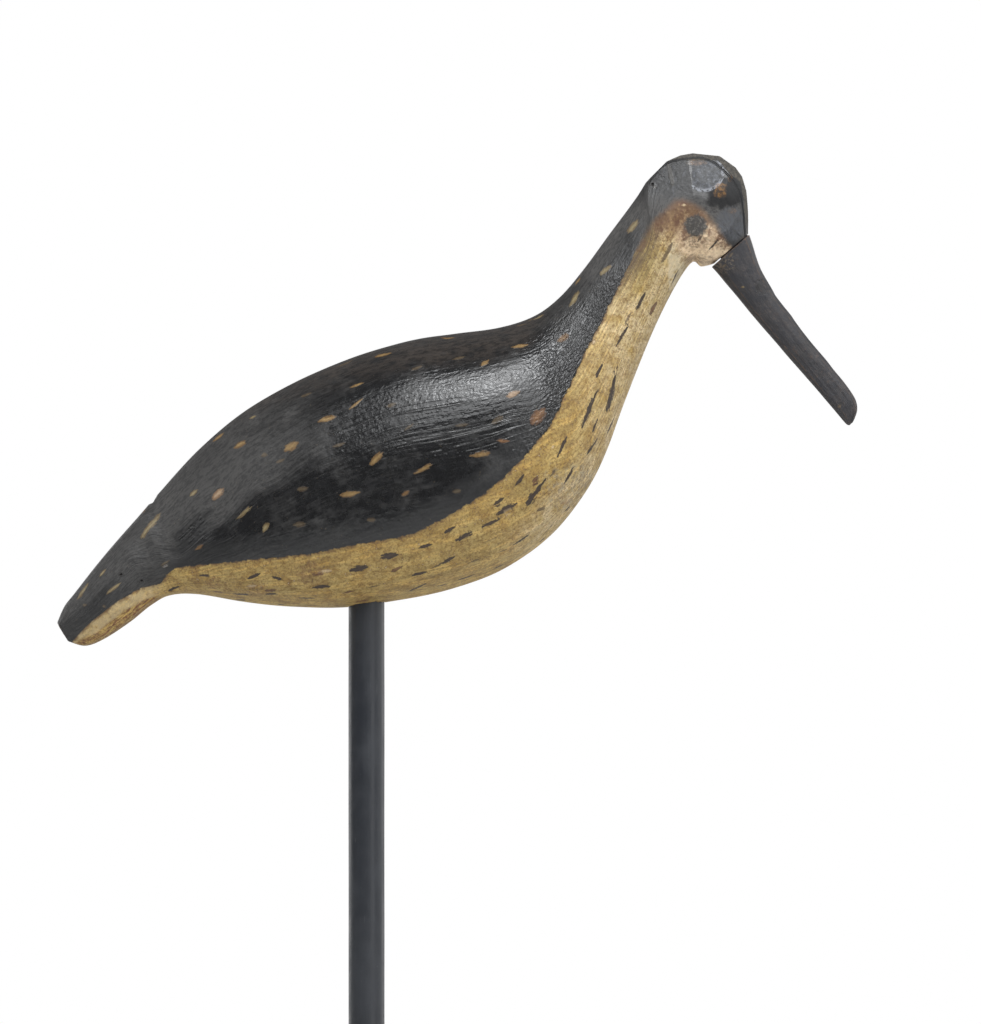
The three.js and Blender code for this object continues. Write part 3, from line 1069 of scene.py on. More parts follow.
class Shader:
    """The node tree of one material, written as expressions.

    Attributes:
        MIX_COLOURS: The numbers of the Mix node's colour inputs.
        MIX_RESULT: The number of its colour output.
    """

    MIX_COLOURS = (6, 7)
    MIX_RESULT = 2

    def __init__(self, name: str) -> None:
        """Makes an empty material."""
        self.material = bpy.data.materials.new(name)
        self.material.use_nodes = True
        self.tree = self.material.node_tree
        self.tree.nodes.clear()
        coordinates = self.node("ShaderNodeTexCoord", {}, {}, "Object")
        self.place = self.vector("SCALE", coordinates, Scale=1 / MM)
        self.x, self.y, self.z = self.parts(self.place)

    def node(
        self,
        kind: str,
        settings: dict[str, object],
        inputs: dict[str | int, object],
        output: str | int | None = 0,
    ) -> "Value | None":
        """Adds one node.

        Args:
            kind: The node's type.
            settings: What is set on the node first.
            inputs: The value or link of each socket, by name or number.
            output: The output to return, by name or number, or None for a node without one.

        Returns:
            That output.
        """
        made = self.tree.nodes.new(kind)
        for name, setting in settings.items():
            setattr(made, name, setting)
        for name, value in inputs.items():
            if isinstance(value, Value):
                self.tree.links.new(value.socket, made.inputs[name])
            else:
                made.inputs[name].default_value = value
        return None if output is None else Value(self, made.outputs[output])

    def math(self, operation: str, *operands: Operand) -> Value:
        """Adds a Math node."""
        return self.node("ShaderNodeMath", {"operation": operation}, dict(enumerate(operands)))

    def vector(self, operation: str, *operands: object, **named: object) -> Value:
        """Adds a Vector Math node."""
        inputs = {**dict(enumerate(operands)), **named}
        return self.node("ShaderNodeVectorMath", {"operation": operation}, inputs)

    def stretched(self, vector: Value, x: float, y: float, z: float) -> Value:
        """Multiplies a vector's parts."""
        return self.vector("MULTIPLY", vector, (x, y, z))

    def joined(self, x: Operand, y: Operand, z: Operand) -> Value:
        """Joins three numbers to a vector."""
        return self.node("ShaderNodeCombineXYZ", {}, {0: x, 1: y, 2: z})

    def attribute(self, name: str, output: str = "Fac") -> Value:
        """Reads an attribute of the piece."""
        return self.node("ShaderNodeAttribute", {"attribute_name": name}, {}, output)

    def parts(self, vector: Value) -> list[Value]:
        """Splits a vector into its three numbers."""
        made = self.node("ShaderNodeSeparateXYZ", {}, {0: vector}).socket.node
        return [Value(self, socket) for socket in made.outputs]

    def noise(self, vector: Value, size: float, detail: float = 3, roughness: float = 0.55) -> Value:
        """Adds soft noise.

        Args:
            vector: Where it is looked up, in millimetres.
            size: The size of its blotches in the same unit.
            detail: How many finer layers it has.
            roughness: How strong those are.

        Returns:
            A share that is mostly near 0.5.
        """
        inputs = {"Vector": vector, "Scale": 1 / size, "Detail": detail, "Roughness": roughness}
        return self.node("ShaderNodeTexNoise", {}, inputs)

    def cloud(self, size: float, detail: float = 3, roughness: float = 0.55) -> Value:
        """Adds soft noise that looks alike in all directions, with blotches of a size in millimetres."""
        return self.noise(self.place, size, detail, roughness)

    @cached_property
    def grain(self) -> Value:
        """Returns each point's place along and round the straightened wood, in millimetres."""
        return self.vector("SCALE", self.attribute(GRAIN, "Vector"), Scale=1 / MM)

    def fibres(self, shrink: float, size: float, detail: float = 3, roughness: float = 0.55) -> Value:
        """Adds soft noise that is drawn out along the wood.

        Args:
            shrink: What lengths along it are multiplied by.
            size: The width of its streaks in millimetres.
            detail: How many finer layers it has.
            roughness: How strong those are.

        Returns:
            A share that is mostly near 0.5.
        """
        return self.noise(self.stretched(self.grain, shrink, 1, 1), size, detail, roughness)

    def mix(self, a: Value | Triple, b: Value | Triple, share: Operand, blend: str = "MIX") -> Value:
        """Mixes two colours.

        Args:
            a: The colour at share 0.
            b: The colour at share 1.
            share: How much of b.
            blend: The way they are mixed.

        Returns:
            The mixed colour.
        """
        colours = [c if isinstance(c, Value) else (*c, 1) for c in (a, b)]
        inputs = {0: share, **dict(zip(self.MIX_COLOURS, colours))}
        settings = {"data_type": "RGBA", "blend_type": blend, "clamp_factor": True}
        return self.node("ShaderNodeMix", settings, inputs, self.MIX_RESULT)

    def tinted(self, colour: Value, tint: Value | Triple, share: Operand) -> Value:
        """Multiplies a colour by another one."""
        return self.mix(colour, tint, share, "MULTIPLY")

    def blend(self, a: Operand, b: Operand, share: Value) -> Value:
        """Mixes two numbers by a share."""
        return a * (1 - share) + b * share

    def finish(self, colour: Value, roughness: Operand, height: Value, **fixed: object) -> bpy.types.Material:
        """Closes the material.

        Args:
            colour: The base colour.
            roughness: The roughness.
            height: The fine relief in millimetres.
            fixed: Other sockets of the surface, with _ for a space.

        Returns:
            The material.
        """
        bump = self.node("ShaderNodeBump", {}, {"Height": height, "Distance": MM, "Strength": 1.0})
        inputs = {"Base Color": colour, "Roughness": roughness, "Normal": bump}
        inputs |= {name.replace("_", " "): value for name, value in fixed.items()}
        surface = self.node("ShaderNodeBsdfPrincipled", {}, inputs)
        self.node("ShaderNodeOutputMaterial", {}, {"Surface": surface}, None)
        return self.material


@dataclass(frozen=True)
class Marking:
    """How the painted marks look close to: quick strokes of an almost dry brush.

    Attributes:
        fullness: How blunt a stroke's ends are, from 0 for a thin lens to 1 for a bar.
        bend: How far a stroke strays from its axis, as a share of its half width.
        torn: How much the bristles tear its outline, as a share of its half width.
        soft: How soft its outline is, as a share of its half width.
        shadow: What its colour is multiplied by where the paint is thin.
    """

    fullness: float = 0.72
    bend: float = 0.9
    torn: float = 1.7
    soft: float = 0.55
    shadow: Triple = (0.42, 0.34, 0.25)

    def over(self, s: Shader, colour: Value) -> tuple[Value, Value]:
        """Lays the marks over a colour.

        Args:
            s: The material's shader.
            colour: The colour below.

        Returns:
            The new colour, and where the marks are.
        """
        along, across, gap = s.parts(s.attribute(MARK_PLACE, "Vector"))
        half_length, half_width, swell = s.parts(s.attribute(MARK_SIZE, "Vector"))
        thin = half_width.most(0.2)
        end = (along / (half_length + half_width).most(0.1)).most(-1).least(1)
        off = (s.cloud(3.5, 2) - 0.5) * self.bend * half_width
        lens = (1 - end * end).most(0)
        blunt = self.fullness * (1 - (swell * end).most(0) * 0.6)
        width = thin * lens ** blunt * (1 + swell * end) / (1 + abs(swell))
        bristles = s.noise(s.joined(along * 0.3, across * 1.6, s.x * 0.2), 1.0, 2, 0.6) - 0.5
        grit = s.cloud(0.9, 2, 0.6) - 0.5
        tear = (bristles * (0.8 + abs(end)) + grit * 0.5) * self.torn
        deep = (width - abs(across + off)) / thin + tear
        share = deep.step(-0.35, self.soft - 0.35) * gap.step(0.5, 0.2) * s.attribute(MARK_PAINT, "Alpha")
        thinly = ((1 - deep.step(0.1, 1.2)) * 0.8 + bristles * 3 + grit * 2).most(0).least(1)
        uneven = s.tinted(s.attribute(MARK_PAINT, "Color"), self.shadow, thinly)
        return s.mix(colour, uneven, share), share


# Finishes

SHEEN = 0.8


@dataclass(frozen=True)
class Oval:
    """An oval area on both sides of the bird, in millimetres.

    Attributes:
        middle: Its middle, (x, z).
        radii: Half its length and half its height.
    """

    middle: Pair
    radii: Pair

    def distance(self, s: Shader, rag: float, rag_size: float) -> Value:
        """Measures how far out a point lies.

        Args:
            s: The material's shader.
            rag: How far the edge strays, as a share of the radii.
            rag_size: The size of those strays in millimetres.

        Returns:
            0 at the middle and 1 at the edge.
        """
        x = (s.x - self.middle[0]) / self.radii[0]
        z = (s.z - self.middle[1]) / self.radii[1]
        stray = (s.cloud(rag_size, 5, 0.65) - 0.5) * rag * 2
        return (x * x + z * z).root() + stray

    def mask(self, s: Shader, rag: float, rag_size: float) -> Value:
        """Returns 1 inside the oval and 0 outside, with a soft ragged edge."""
        return self.distance(s, rag, rag_size).step(1.15, 0.75)


def side_oval(column: float, row: float, radii: Pair, depth: float = 0) -> Oval:
    """Places an oval on the bird's side.

    Args:
        column: Its middle's pixel column.
        row: Its middle's pixel row.
        radii: Half its length and half its height, in pixels.
        depth: How far the surface there stands out from the middle.

    Returns:
        The oval.
    """
    eye = PHOTO.eye()
    place = eye + (PHOTO.on_middle_plane(column, row) - eye) * (1 - depth / PHOTO.distance)
    scale = PHOTO.pixel / MM
    return Oval((place.x / MM, place.z / MM), (radii[0] * scale, radii[1] * scale))


@dataclass(frozen=True)
class Patch:
    """A ragged oval patch as the photograph shows it.

    Attributes:
        column: Its middle's pixel column.
        row: Its middle's pixel row.
        radii: Half its length and half its height, in pixels.
        rag: How far its edge strays, as a share of the radii.
        rag_size: The size of those strays in millimetres.
        strength: How strong it is, from 0 to 1.
    """

    column: float
    row: float
    radii: Pair
    rag: float
    rag_size: float
    strength: float = 1

    def mask(self, s: Shader, depth: float) -> Value:
        """Returns how strong the patch is on a side that stands out so far from the middle."""
        oval = side_oval(self.column, self.row, self.radii, depth)
        return oval.mask(s, self.rag, self.rag_size) * self.strength


@dataclass(frozen=True)
class BackPaint:
    """The aged black oil paint of the back: glossy and wrinkled where it is thick, dull where dust lies.

    Attributes:
        thick: The colour of thick paint.
        dusty: Its colour under dust.
        brown: The brownish tinge along the top of the back and the crown.
        speck: The colour of small bare specks.
        worn: The wood's colour on worn edges.
    """

    thick: Triple = (0.0062, 0.0064, 0.0075)
    dusty: Triple = (0.080, 0.076, 0.072)
    brown: Triple = (0.060, 0.047, 0.038)
    speck: Triple = (0.20, 0.15, 0.09)
    worn: Triple = (0.17, 0.10, 0.055)

    def dust(self, s: Shader) -> Value:
        """Returns how much dust lies on the paint: on the tail, and where the rump and neck face up."""
        up = s.attribute(UPWARD)
        stray = (s.cloud(7, 4) - 0.5) * 0.5
        tail = s.x.step(-62, -78) * (1 - s.x.step(-80, -94) * 0.75)
        rump = s.x.step(2, -50) * (up + stray * 0.3).step(0.04, 0.18)
        neck = s.z.step(284, 308) * (0.4 + s.z.step(303, 324) * 0.56 + stray)
        neck = neck * (1 - self.thickened(s) * 0.75) * s.z.step(346, 334)
        streaks = s.fibres(0.07, 1.1, 5, 0.65) - 0.5
        cloud = s.cloud(12, 5).step(0.45, 0.75) * 0.25
        temple = s.z.step(333, 338) * s.x.step(115, 113) * 0.12
        return (tail.most(rump) * 0.55 + neck.most(temple) + cloud + streaks * 0.7).most(0).least(1)

    def colour(self, s: Shader, dust: Value) -> Value:
        """Returns the paint's colour over the back."""
        colour = s.mix(self.thick, self.dusty, dust)
        top = s.attribute(UPWARD).step(0.66, 0.86) * s.cloud(5, 4).step(0.25, 0.6)
        colour = s.mix(colour, self.brown, top * 0.6)
        mottle = s.fibres(0.5, 1.2, 2, 0.7)
        colour = s.tinted(colour, (0.4, 0.4, 0.42), mottle.step(0.46, 0.6) * 0.9)
        specks = s.cloud(0.7, 2).step(0.66, 0.76) * s.cloud(8, 3).step(0.42, 0.65)
        colour = s.mix(colour, self.speck, specks * 0.4)
        edge = s.attribute(RIDGE).step(0.05, 0.14) * s.cloud(2.2, 5).step(0.42, 0.6)
        return s.mix(colour, self.worn, edge * 0.5)

    def roughness(self, s: Shader, dust: Value) -> Value:
        """Returns how dull the paint is."""
        patches = s.cloud(3, 5).step(0.4, 0.7)
        flank = s.attribute(BORDER).step(11, 3) * s.x.step(62, 46)
        head = s.z.step(330, 336) * (0.04 + s.x.step(113, 116) * 0.06)
        return 0.215 + dust * 0.5 + patches * 0.1 + flank * 0.22 + head

    def relief(self, s: Shader) -> Value:
        """Returns the paint's brush streaks, lumps, beads and cracks in millimetres."""
        body = 1 - s.z.step(325, 335) * 0.45
        streaks = s.fibres(0.12, 1.1, 1) * 0.15
        ridges = s.fibres(0.03, 2.2, 1) * 0.12
        lumps = s.cloud(2.4, 1) * 0.14
        grit = s.cloud(1.05, 1) * 0.085
        beads = s.fibres(0.8, 1.1, 1).step(0.34, 0.68) * 0.36
        crack = abs(s.fibres(0.028, 2.6, 2) - 0.5).step(0.04, 0.0)
        cracks = crack * 0.2 * side_oval(440, 424, (100, 24), 33 * MM).mask(s, 0.9, 3)
        return (streaks + ridges + grit + lumps) * body + beads * self.beaded(s) + cracks

    def thickened(self, s: Shader) -> Value:
        """Returns where the paint is thick and clean: along the border, up to the cheek."""
        return s.attribute(BORDER).step(10, 4) * s.x.step(46, 72) * s.z.step(336, 326)

    def crackled(self, s: Shader) -> Value:
        """Returns where the thick paint has drawn up: along the border, up the neck."""
        return s.attribute(BORDER).step(13, 3) * s.x.step(46, 72) * s.z.step(320, 304)

    def beaded(self, s: Shader) -> Value:
        """Returns where the paint is beaded: where it has drawn up, and on the wing."""
        root = side_oval(577, 362, (42, 46), 28 * MM).distance(s, 0.5, 6).step(1.6, 0.3)
        wing = side_oval(460, 390, (95, 30), 31 * MM).distance(s, 0.5, 6).step(1.25, 0.6)
        return (self.crackled(s) * 0.8).most(root * 0.8).most(wing * 0.16)


@dataclass(frozen=True)
class BellyPaint:
    """The pale paint of the belly and breast, mottled and stained with age.

    Attributes:
        cream: The paint's main colour.
        ochre: Its darker, yellower colour.
        olive: The colour of the older coat on the neck and in clouds over the belly; laid thinly low on the
            belly, it is painted shade.
        breast: A paler, greyer colour: on the breast's front partly the paint and partly painted light from
            the right, and on the tail's facet.
        rust: The colour of reddish stains.
        umber: The colour of the dark streaks down the neck.
        worn: The colour of the tail's worn lower edge.
        grime: The colour of dark specks and cracks.
        soot_and_shade: The colour of the grey smudge on the breast.
        chip_and_light: The colour of small fresh chips, and of the painted light up the throat.
        STAINS: Where the larger rusty stains lie.
    """

    cream: Triple = (0.52, 0.372, 0.124)
    ochre: Triple = (0.46, 0.295, 0.074)
    olive: Triple = (0.32, 0.235, 0.070)
    breast: Triple = (0.69, 0.56, 0.345)
    rust: Triple = (0.20, 0.085, 0.03)
    umber: Triple = (0.10, 0.06, 0.025)
    worn: Triple = (0.17, 0.055, 0.018)
    grime: Triple = (0.15, 0.10, 0.055)
    soot_and_shade: Triple = (0.24, 0.22, 0.18)
    chip_and_light: Triple = (0.78, 0.68, 0.48)

    STAINS = (
        Patch(213, 583, (9, 6), 0.8, 4), Patch(310, 572, (14, 13), 0.8, 4), Patch(256, 590, (11, 7), 0.8, 4),
        Patch(362, 600, (9, 6), 0.8, 4), Patch(565, 500, (6, 5), 0.8, 4),
    )

    def colour(self, s: Shader, border: Value) -> Value:
        """Returns the paint's colour over the belly."""
        colour = s.mix(self.cream, self.ochre, s.cloud(7, 6, 0.65).step(0.36, 0.64) * 0.8)
        near = border.step(-9, -2.5) * s.cloud(6, 3).step(0.3, 0.6)
        colour = s.mix(colour, self.ochre, near * 0.55)
        # Slightly darker and greener towards the bottom of the belly: painted shade. The clouds are the older
        # coat.
        low = s.z.step(226, 204) * s.x.step(80, 30)
        old_coat_and_shade = low * 0.1 + s.cloud(13, 5).step(0.54, 0.72) * 0.35
        colour = s.mix(colour, self.olive, old_coat_and_shade.least(0.7))
        # Paler and greyer towards the breast's front: partly the paint, partly painted light from the right.
        outer = border.step(-12, -20) * s.x.step(44, 66)
        front = s.x.step(66, 96).most(outer) * (1 - s.z.step(298, 325) * s.x.step(104, 96))
        colour = s.mix(colour, self.breast, front * s.cloud(5, 5).step(0.22, 0.6) * 0.78)
        streak = s.fibres(0.09, 1.3, 5, 0.65)
        neck = s.z.step(298, 322) * s.x.step(106, 98)
        broad = s.fibres(0.06, 2.4, 4, 0.65)
        streaked = streak.step(0.46, 0.62) * 0.22 + neck * broad.step(0.33, 0.58) * 0.95
        colour = s.mix(colour, self.olive, streaked)
        colour = s.mix(colour, self.olive, neck * (0.25 + border.step(-11, -4) * 0.4))
        rusty = s.cloud(8, 6, 0.7)
        colour = s.mix(colour, self.rust, rusty.step(0.53, 0.72) * s.x.step(48, -8) * 0.55)
        tail = s.x.step(-70, -76)
        inner = border - s.x.step(-94, -102) * 2.8
        facet = tail * inner.step(-4.6, -3.6)
        torn = s.fibres(0.4, 1.5, 3, 0.7)
        tail_edge = tail * inner.step(-3.4, -4.6) * torn.step(0.45, 0.58)
        colour = s.mix(colour, self.worn, tail_edge * 0.9)
        for patch in self.STAINS:
            stain = patch.mask(s, 20 * MM)
            colour = s.mix(colour, self.rust, stain * s.cloud(1.5, 3, 0.7).step(0.4, 0.6) * 0.6)
        smudge = side_oval(572, 487, (30, 24), 24 * MM).mask(s, 0.8, 5)
        colour = s.mix(colour, self.soot_and_shade, smudge * s.cloud(1.6, 5, 0.7).step(0.44, 0.64) * 0.65)
        aged = self.aged(s, colour, streak)
        lines = s.fibres(0.05, 1.3, 3, 0.65).step(0.48, 0.58)
        aged = s.mix(aged, self.umber, lines * s.z.step(304, 320) * border.step(-9, -2) * 0.8)
        along_border = border.step(-4.5, -0.5) * s.z.step(300, 318)
        aged = s.mix(aged, self.umber, along_border * streak.step(0.36, 0.56) * 0.8)
        # Painted light: a paler, greyer zone up the throat, on the side that faces the light from the right.
        throat = self.throat(s)
        aged = s.mix(aged, self.chip_and_light, throat * s.cloud(2, 4).step(0.3, 0.55) * 0.6)
        return s.mix(aged, self.breast, facet * s.cloud(3, 4).step(0.75, 0.45) * 0.42)

    def throat(self, s: Shader) -> Value:
        """Returns where the neck is painted paler and greyer up the throat: painted light from the right."""
        return side_oval(676, 268, (9, 26), 11 * MM).mask(s, 0.5, 4)

    def aged(self, s: Shader, colour: Value, streak: Value) -> Value:
        """Lays fine mottling, cracks, specks and chips over the paint's colour."""
        mottle = s.cloud(0.9, 3, 0.75)
        colour = s.tinted(colour, (0.50, 0.40, 0.26), mottle.step(0.47, 0.62) * 0.85)
        colour = s.tinted(colour, (0.74, 0.68, 0.54), streak.step(0.53, 0.66) * 0.5)
        blotch = s.cloud(4, 3, 0.6)
        colour = s.tinted(colour, (0.78, 0.72, 0.56), blotch.step(0.46, 0.62) * 0.9)
        colour = s.tinted(colour, (1.35, 1.33, 1.28), streak.step(0.52, 0.36))
        crack = abs(s.cloud(3.2, 5, 0.7) - 0.5).step(0.022, 0.0)
        colour = s.mix(colour, self.grime, crack * s.cloud(7, 3).step(0.4, 0.65) * 0.5)
        specks = s.cloud(0.62, 3).step(0.60, 0.69) * s.cloud(5, 3).step(0.3, 0.6)
        colour = s.mix(colour, self.grime, specks * 0.85)
        chips = s.cloud(0.9, 3).step(0.68, 0.73)
        return s.mix(colour, self.chip_and_light, chips * 0.6)

    def relief(self, s: Shader) -> Value:
        """Returns the paint's brush streaks and lumps in millimetres."""
        streaks = s.fibres(0.09, 1.1, 4) * 0.09
        crack = abs(s.cloud(3.2, 5, 0.7) - 0.5).step(0.022, 0.0)
        return streaks + s.cloud(1.4, 3, 0.6) * 0.22 - crack * 0.04


@dataclass(frozen=True)
class BirdPaint:
    """The whole bird's paint: black back, pale belly, tan cheek, dark eye and small marks.

    Attributes:
        head_depth: How far the head's side stands out from the middle.
        marking: How the small marks look.
        cheek: The cheek's colour.
        tan: The colour of its upper part.
        stain: The colour of the stains on it.
        rim: The colour of the thin worn line between the two paints.
        eye: The eye's colour.
        eye_speck: The colour of the specks in it.
        rubbed: The colour of the crown's rubbed flat.
        soot_and_shade: The crown's near-black: painted shade on the flat below the rubbed one, and the colour
            of the dark line.
        slate: The colour of the dull flat before the eye.
        edge_highlight: The colour of the painted highlights along the rubbed flat's edges and in specks over
            it.
        chamfer: The colour of the crown's chamfers.
        ochre: The colour of its stained spots.
        SPOTS: Where the crown's stained spots lie.
        STAINS: Where the cheek's red-brown stains lie.
    """

    head_depth: float
    marking: Marking = Marking()
    cheek: Triple = (0.98, 0.77, 0.52)
    tan: Triple = (0.30, 0.18, 0.082)
    stain: Triple = (0.115, 0.043, 0.018)
    rim: Triple = (0.13, 0.062, 0.022)
    eye: Triple = (0.036, 0.036, 0.035)
    eye_speck: Triple = (0.36, 0.33, 0.28)
    rubbed: Triple = (0.048, 0.053, 0.064)
    soot_and_shade: Triple = (0.008, 0.008, 0.009)
    slate: Triple = (0.066, 0.070, 0.080)
    edge_highlight: Triple = (0.26, 0.27, 0.30)
    chamfer: Triple = (0.085, 0.074, 0.058)
    ochre: Triple = (0.26, 0.125, 0.03)

    SPOTS = (
        Patch(720, 190, (6, 7.5), 0.9, 3), Patch(730, 178, (2.5, 4), 0.8, 2, 0.5),
        Patch(697, 162, (9, 3), 0.9, 2, 0.6), Patch(733, 211, (5, 3), 0.9, 2, 0.5),
    )
    STAINS = (
        Patch(685, 205, (26, 9), 0.6, 3), Patch(693, 228, (21, 19), 0.7, 3, 0.8),
        Patch(662, 222, (9, 13), 0.7, 3), Patch(725, 240, (10, 11), 0.6, 2),
        Patch(700, 259, (18, 5), 0.6, 2, 0.6), Patch(678, 217, (4, 10), 1.1, 2),
        Patch(660, 221, (7, 9), 1.1, 2),
    )

    def strongest(self, s: Shader, patches: Sequence[Patch]) -> Value:
        """Returns the strongest of some patches at each point."""
        masks = [patch.mask(s, self.head_depth) for patch in patches]
        whole = masks[0]
        for mask in masks[1:]:
            whole = whole.most(mask)
        return whole

    def oval(self, column: float, row: float, radii: Pair) -> Oval:
        """Places an oval on the head, by its pixel and its radii in pixels."""
        return side_oval(column, row, radii, self.head_depth)

    def material(self) -> bpy.types.Material:
        """Returns the paint as a material."""
        s = Shader("bird_paint")
        back, belly = BackPaint(), BellyPaint()
        brushed = s.fibres(0.12, 1.1, 4) - 0.5
        border = s.attribute(BORDER)
        ragged = s.cloud(3.2, 2, 0.6) * 1.5 + s.cloud(0.9, 1) * 0.7 - 1.1
        rough = s.x.step(-92, -80)
        soft = 1 + s.z.step(315, 333) * 5
        edge = (border + (ragged + brushed * 0.7) * rough) / soft
        dark = edge.step(-0.28, 0.28)
        pale = self.on_cheek(s, belly.colour(s, border))
        worn_line = edge.step(-1.3, -0.1) * s.cloud(3, 4).step(0.36, 0.6)
        pale = s.mix(pale, self.rim, worn_line * 0.8)
        dust = back.dust(s)
        black, dulled, crease = self.on_crown(s, back.colour(s, dust))
        colour = s.mix(pale, black, dark)
        eye, colour = self.with_eye(s, colour)
        colour, marks = self.marking.over(s, colour)
        dull = s.blend(0.6, back.roughness(s, dust) + dulled * 0.35, dark)
        roughness = s.blend(dull, 0.5, marks * 0.7)
        relief = s.blend(belly.relief(s), back.relief(s), dark)
        relief = relief + dark * 0.05 + eye * 0.05 + marks * 0.05 - crease * 0.35
        return s.finish(colour, roughness, relief, Specular_IOR_Level=SHEEN)

    def on_crown(self, s: Shader, colour: Value) -> tuple[Value, Value, Value]:
        """Lays the rubbed and stained places over the crown, with painted shade on the flat below the rubbed
        one and painted highlights along the rubbed flat's edges.

        Args:
            s: The material's shader.
            colour: The black paint's colour.

        Returns:
            The colour, where it is dull, and where the dark line runs.
        """
        head = s.z.step(328, 334)
        fine = s.cloud(1.2, 5, 0.75)
        facing_side = abs(s.attribute(SIDEWAYS))
        band = facing_side.step(0.80, 0.75) * head * s.x.step(105, 108)
        colour = s.mix(colour, self.chamfer, band * (0.35 + fine.step(0.4, 0.6) * 0.65))
        flat = self.oval(704, 172, (20.5, 20))
        rubbed = flat.distance(s, 0.04, 2).step(1.03, 0.97)
        rubbed = rubbed * s.x.step(self.flat_edge - 0.2, self.flat_edge + 0.2) * (1 - band)
        # Painted highlights: pale grey along the rubbed flat's edges and in small specks over it.
        highlighted_rim = flat.distance(s, 0.04, 2).step(0.78, 0.92) * fine.step(0.45, 0.53)
        colour = s.mix(colour, self.rubbed, rubbed * (0.15 + fine.step(0.4, 0.6) * 0.85))
        colour = s.mix(colour, self.edge_highlight, rubbed * (highlighted_rim * 0.85).most(fine.step(0.56, 0.64) * 0.3))
        # Painted shade: a near-black patch on the flat below the rubbed one.
        soot_and_shade = self.oval(725, 192, (21, 18)).mask(s, 0.65, 4) * (1 - rubbed) * (1 - band)
        colour = s.mix(colour, self.soot_and_shade, soot_and_shade * 0.85)
        before_eye = self.oval(731, 224, (15, 17)).mask(s, 0.25, 3) * (1 - band)
        colour = s.mix(colour, self.slate, before_eye * (0.45 + fine.step(0.4, 0.6) * 0.55))
        upright = s.noise(s.stretched(s.place, 1, 1, 0.14), 1.1, 3, 0.65)
        temple = self.oval(672, 180, (20, 20)).mask(s, 0.3, 4) * (1 - band) * (1 - rubbed)
        colour = s.mix(colour, self.slate, temple * upright.step(0.52, 0.66) * 0.6)
        spots = self.strongest(s, self.SPOTS)
        colour = s.mix(colour, self.ochre, spots * (0.1 + fine.step(0.42, 0.62) * 0.6))
        line = abs(s.attribute(CROWN) + (fine - 0.5) * 0.4).step(0.5, 0.12) * facing_side.step(0.3, 0.5)
        return s.mix(colour, self.soot_and_shade, line * 0.95), soot_and_shade.most(band).most(rubbed * 0.55).most(line), line

    @property
    def flat_edge(self) -> float:
        """Returns the x of the rubbed flat's straight edge in millimetres."""
        return self.oval(692, 175, (1, 1)).middle[0]

    def on_cheek(self, s: Shader, colour: Value) -> Value:
        """Lays the tan cheek and its red-brown stains over the pale paint."""
        colour = s.mix(colour, self.cheek, self.oval(708, 240, (32, 30)).mask(s, 0.3, 6) * 0.9)
        colour = s.mix(colour, self.tan, self.oval(680, 213, (30, 24)).mask(s, 0.45, 4) * 0.8)
        whole = self.oval(690, 225, (44, 36)).mask(s, 0.2, 4)
        grimy = s.cloud(2.6, 3, 0.7).step(0.44, 0.62)
        colour = s.tinted(colour, (0.40, 0.27, 0.17), grimy * whole * 0.45)
        gritty = s.cloud(0.85, 2, 0.6).step(0.46, 0.62)
        colour = s.tinted(colour, (0.55, 0.45, 0.36), gritty * whole * 0.6)
        fine = s.noise(s.stretched(s.place, 1, 1, 0.6), 1.5, 4, 0.7).step(0.42, 0.58)
        stains = self.strongest(s, self.STAINS)
        return s.mix(colour, self.stain, stains * (0.1 + fine * 0.9) * 0.92)

    def with_eye(self, s: Shader, colour: Value) -> tuple[Value, Value]:
        """Paints the eye. Returns where it is, and the new colour."""
        eye = self.oval(695.5, 226, (11.6, 11)).distance(s, 0.5, 1.3).step(1.2, 0.8)
        specks = s.cloud(0.8, 5, 0.75).step(0.5, 0.66)
        return eye, s.mix(colour, s.mix(self.eye, self.eye_speck, specks * 0.42), eye * 0.95)


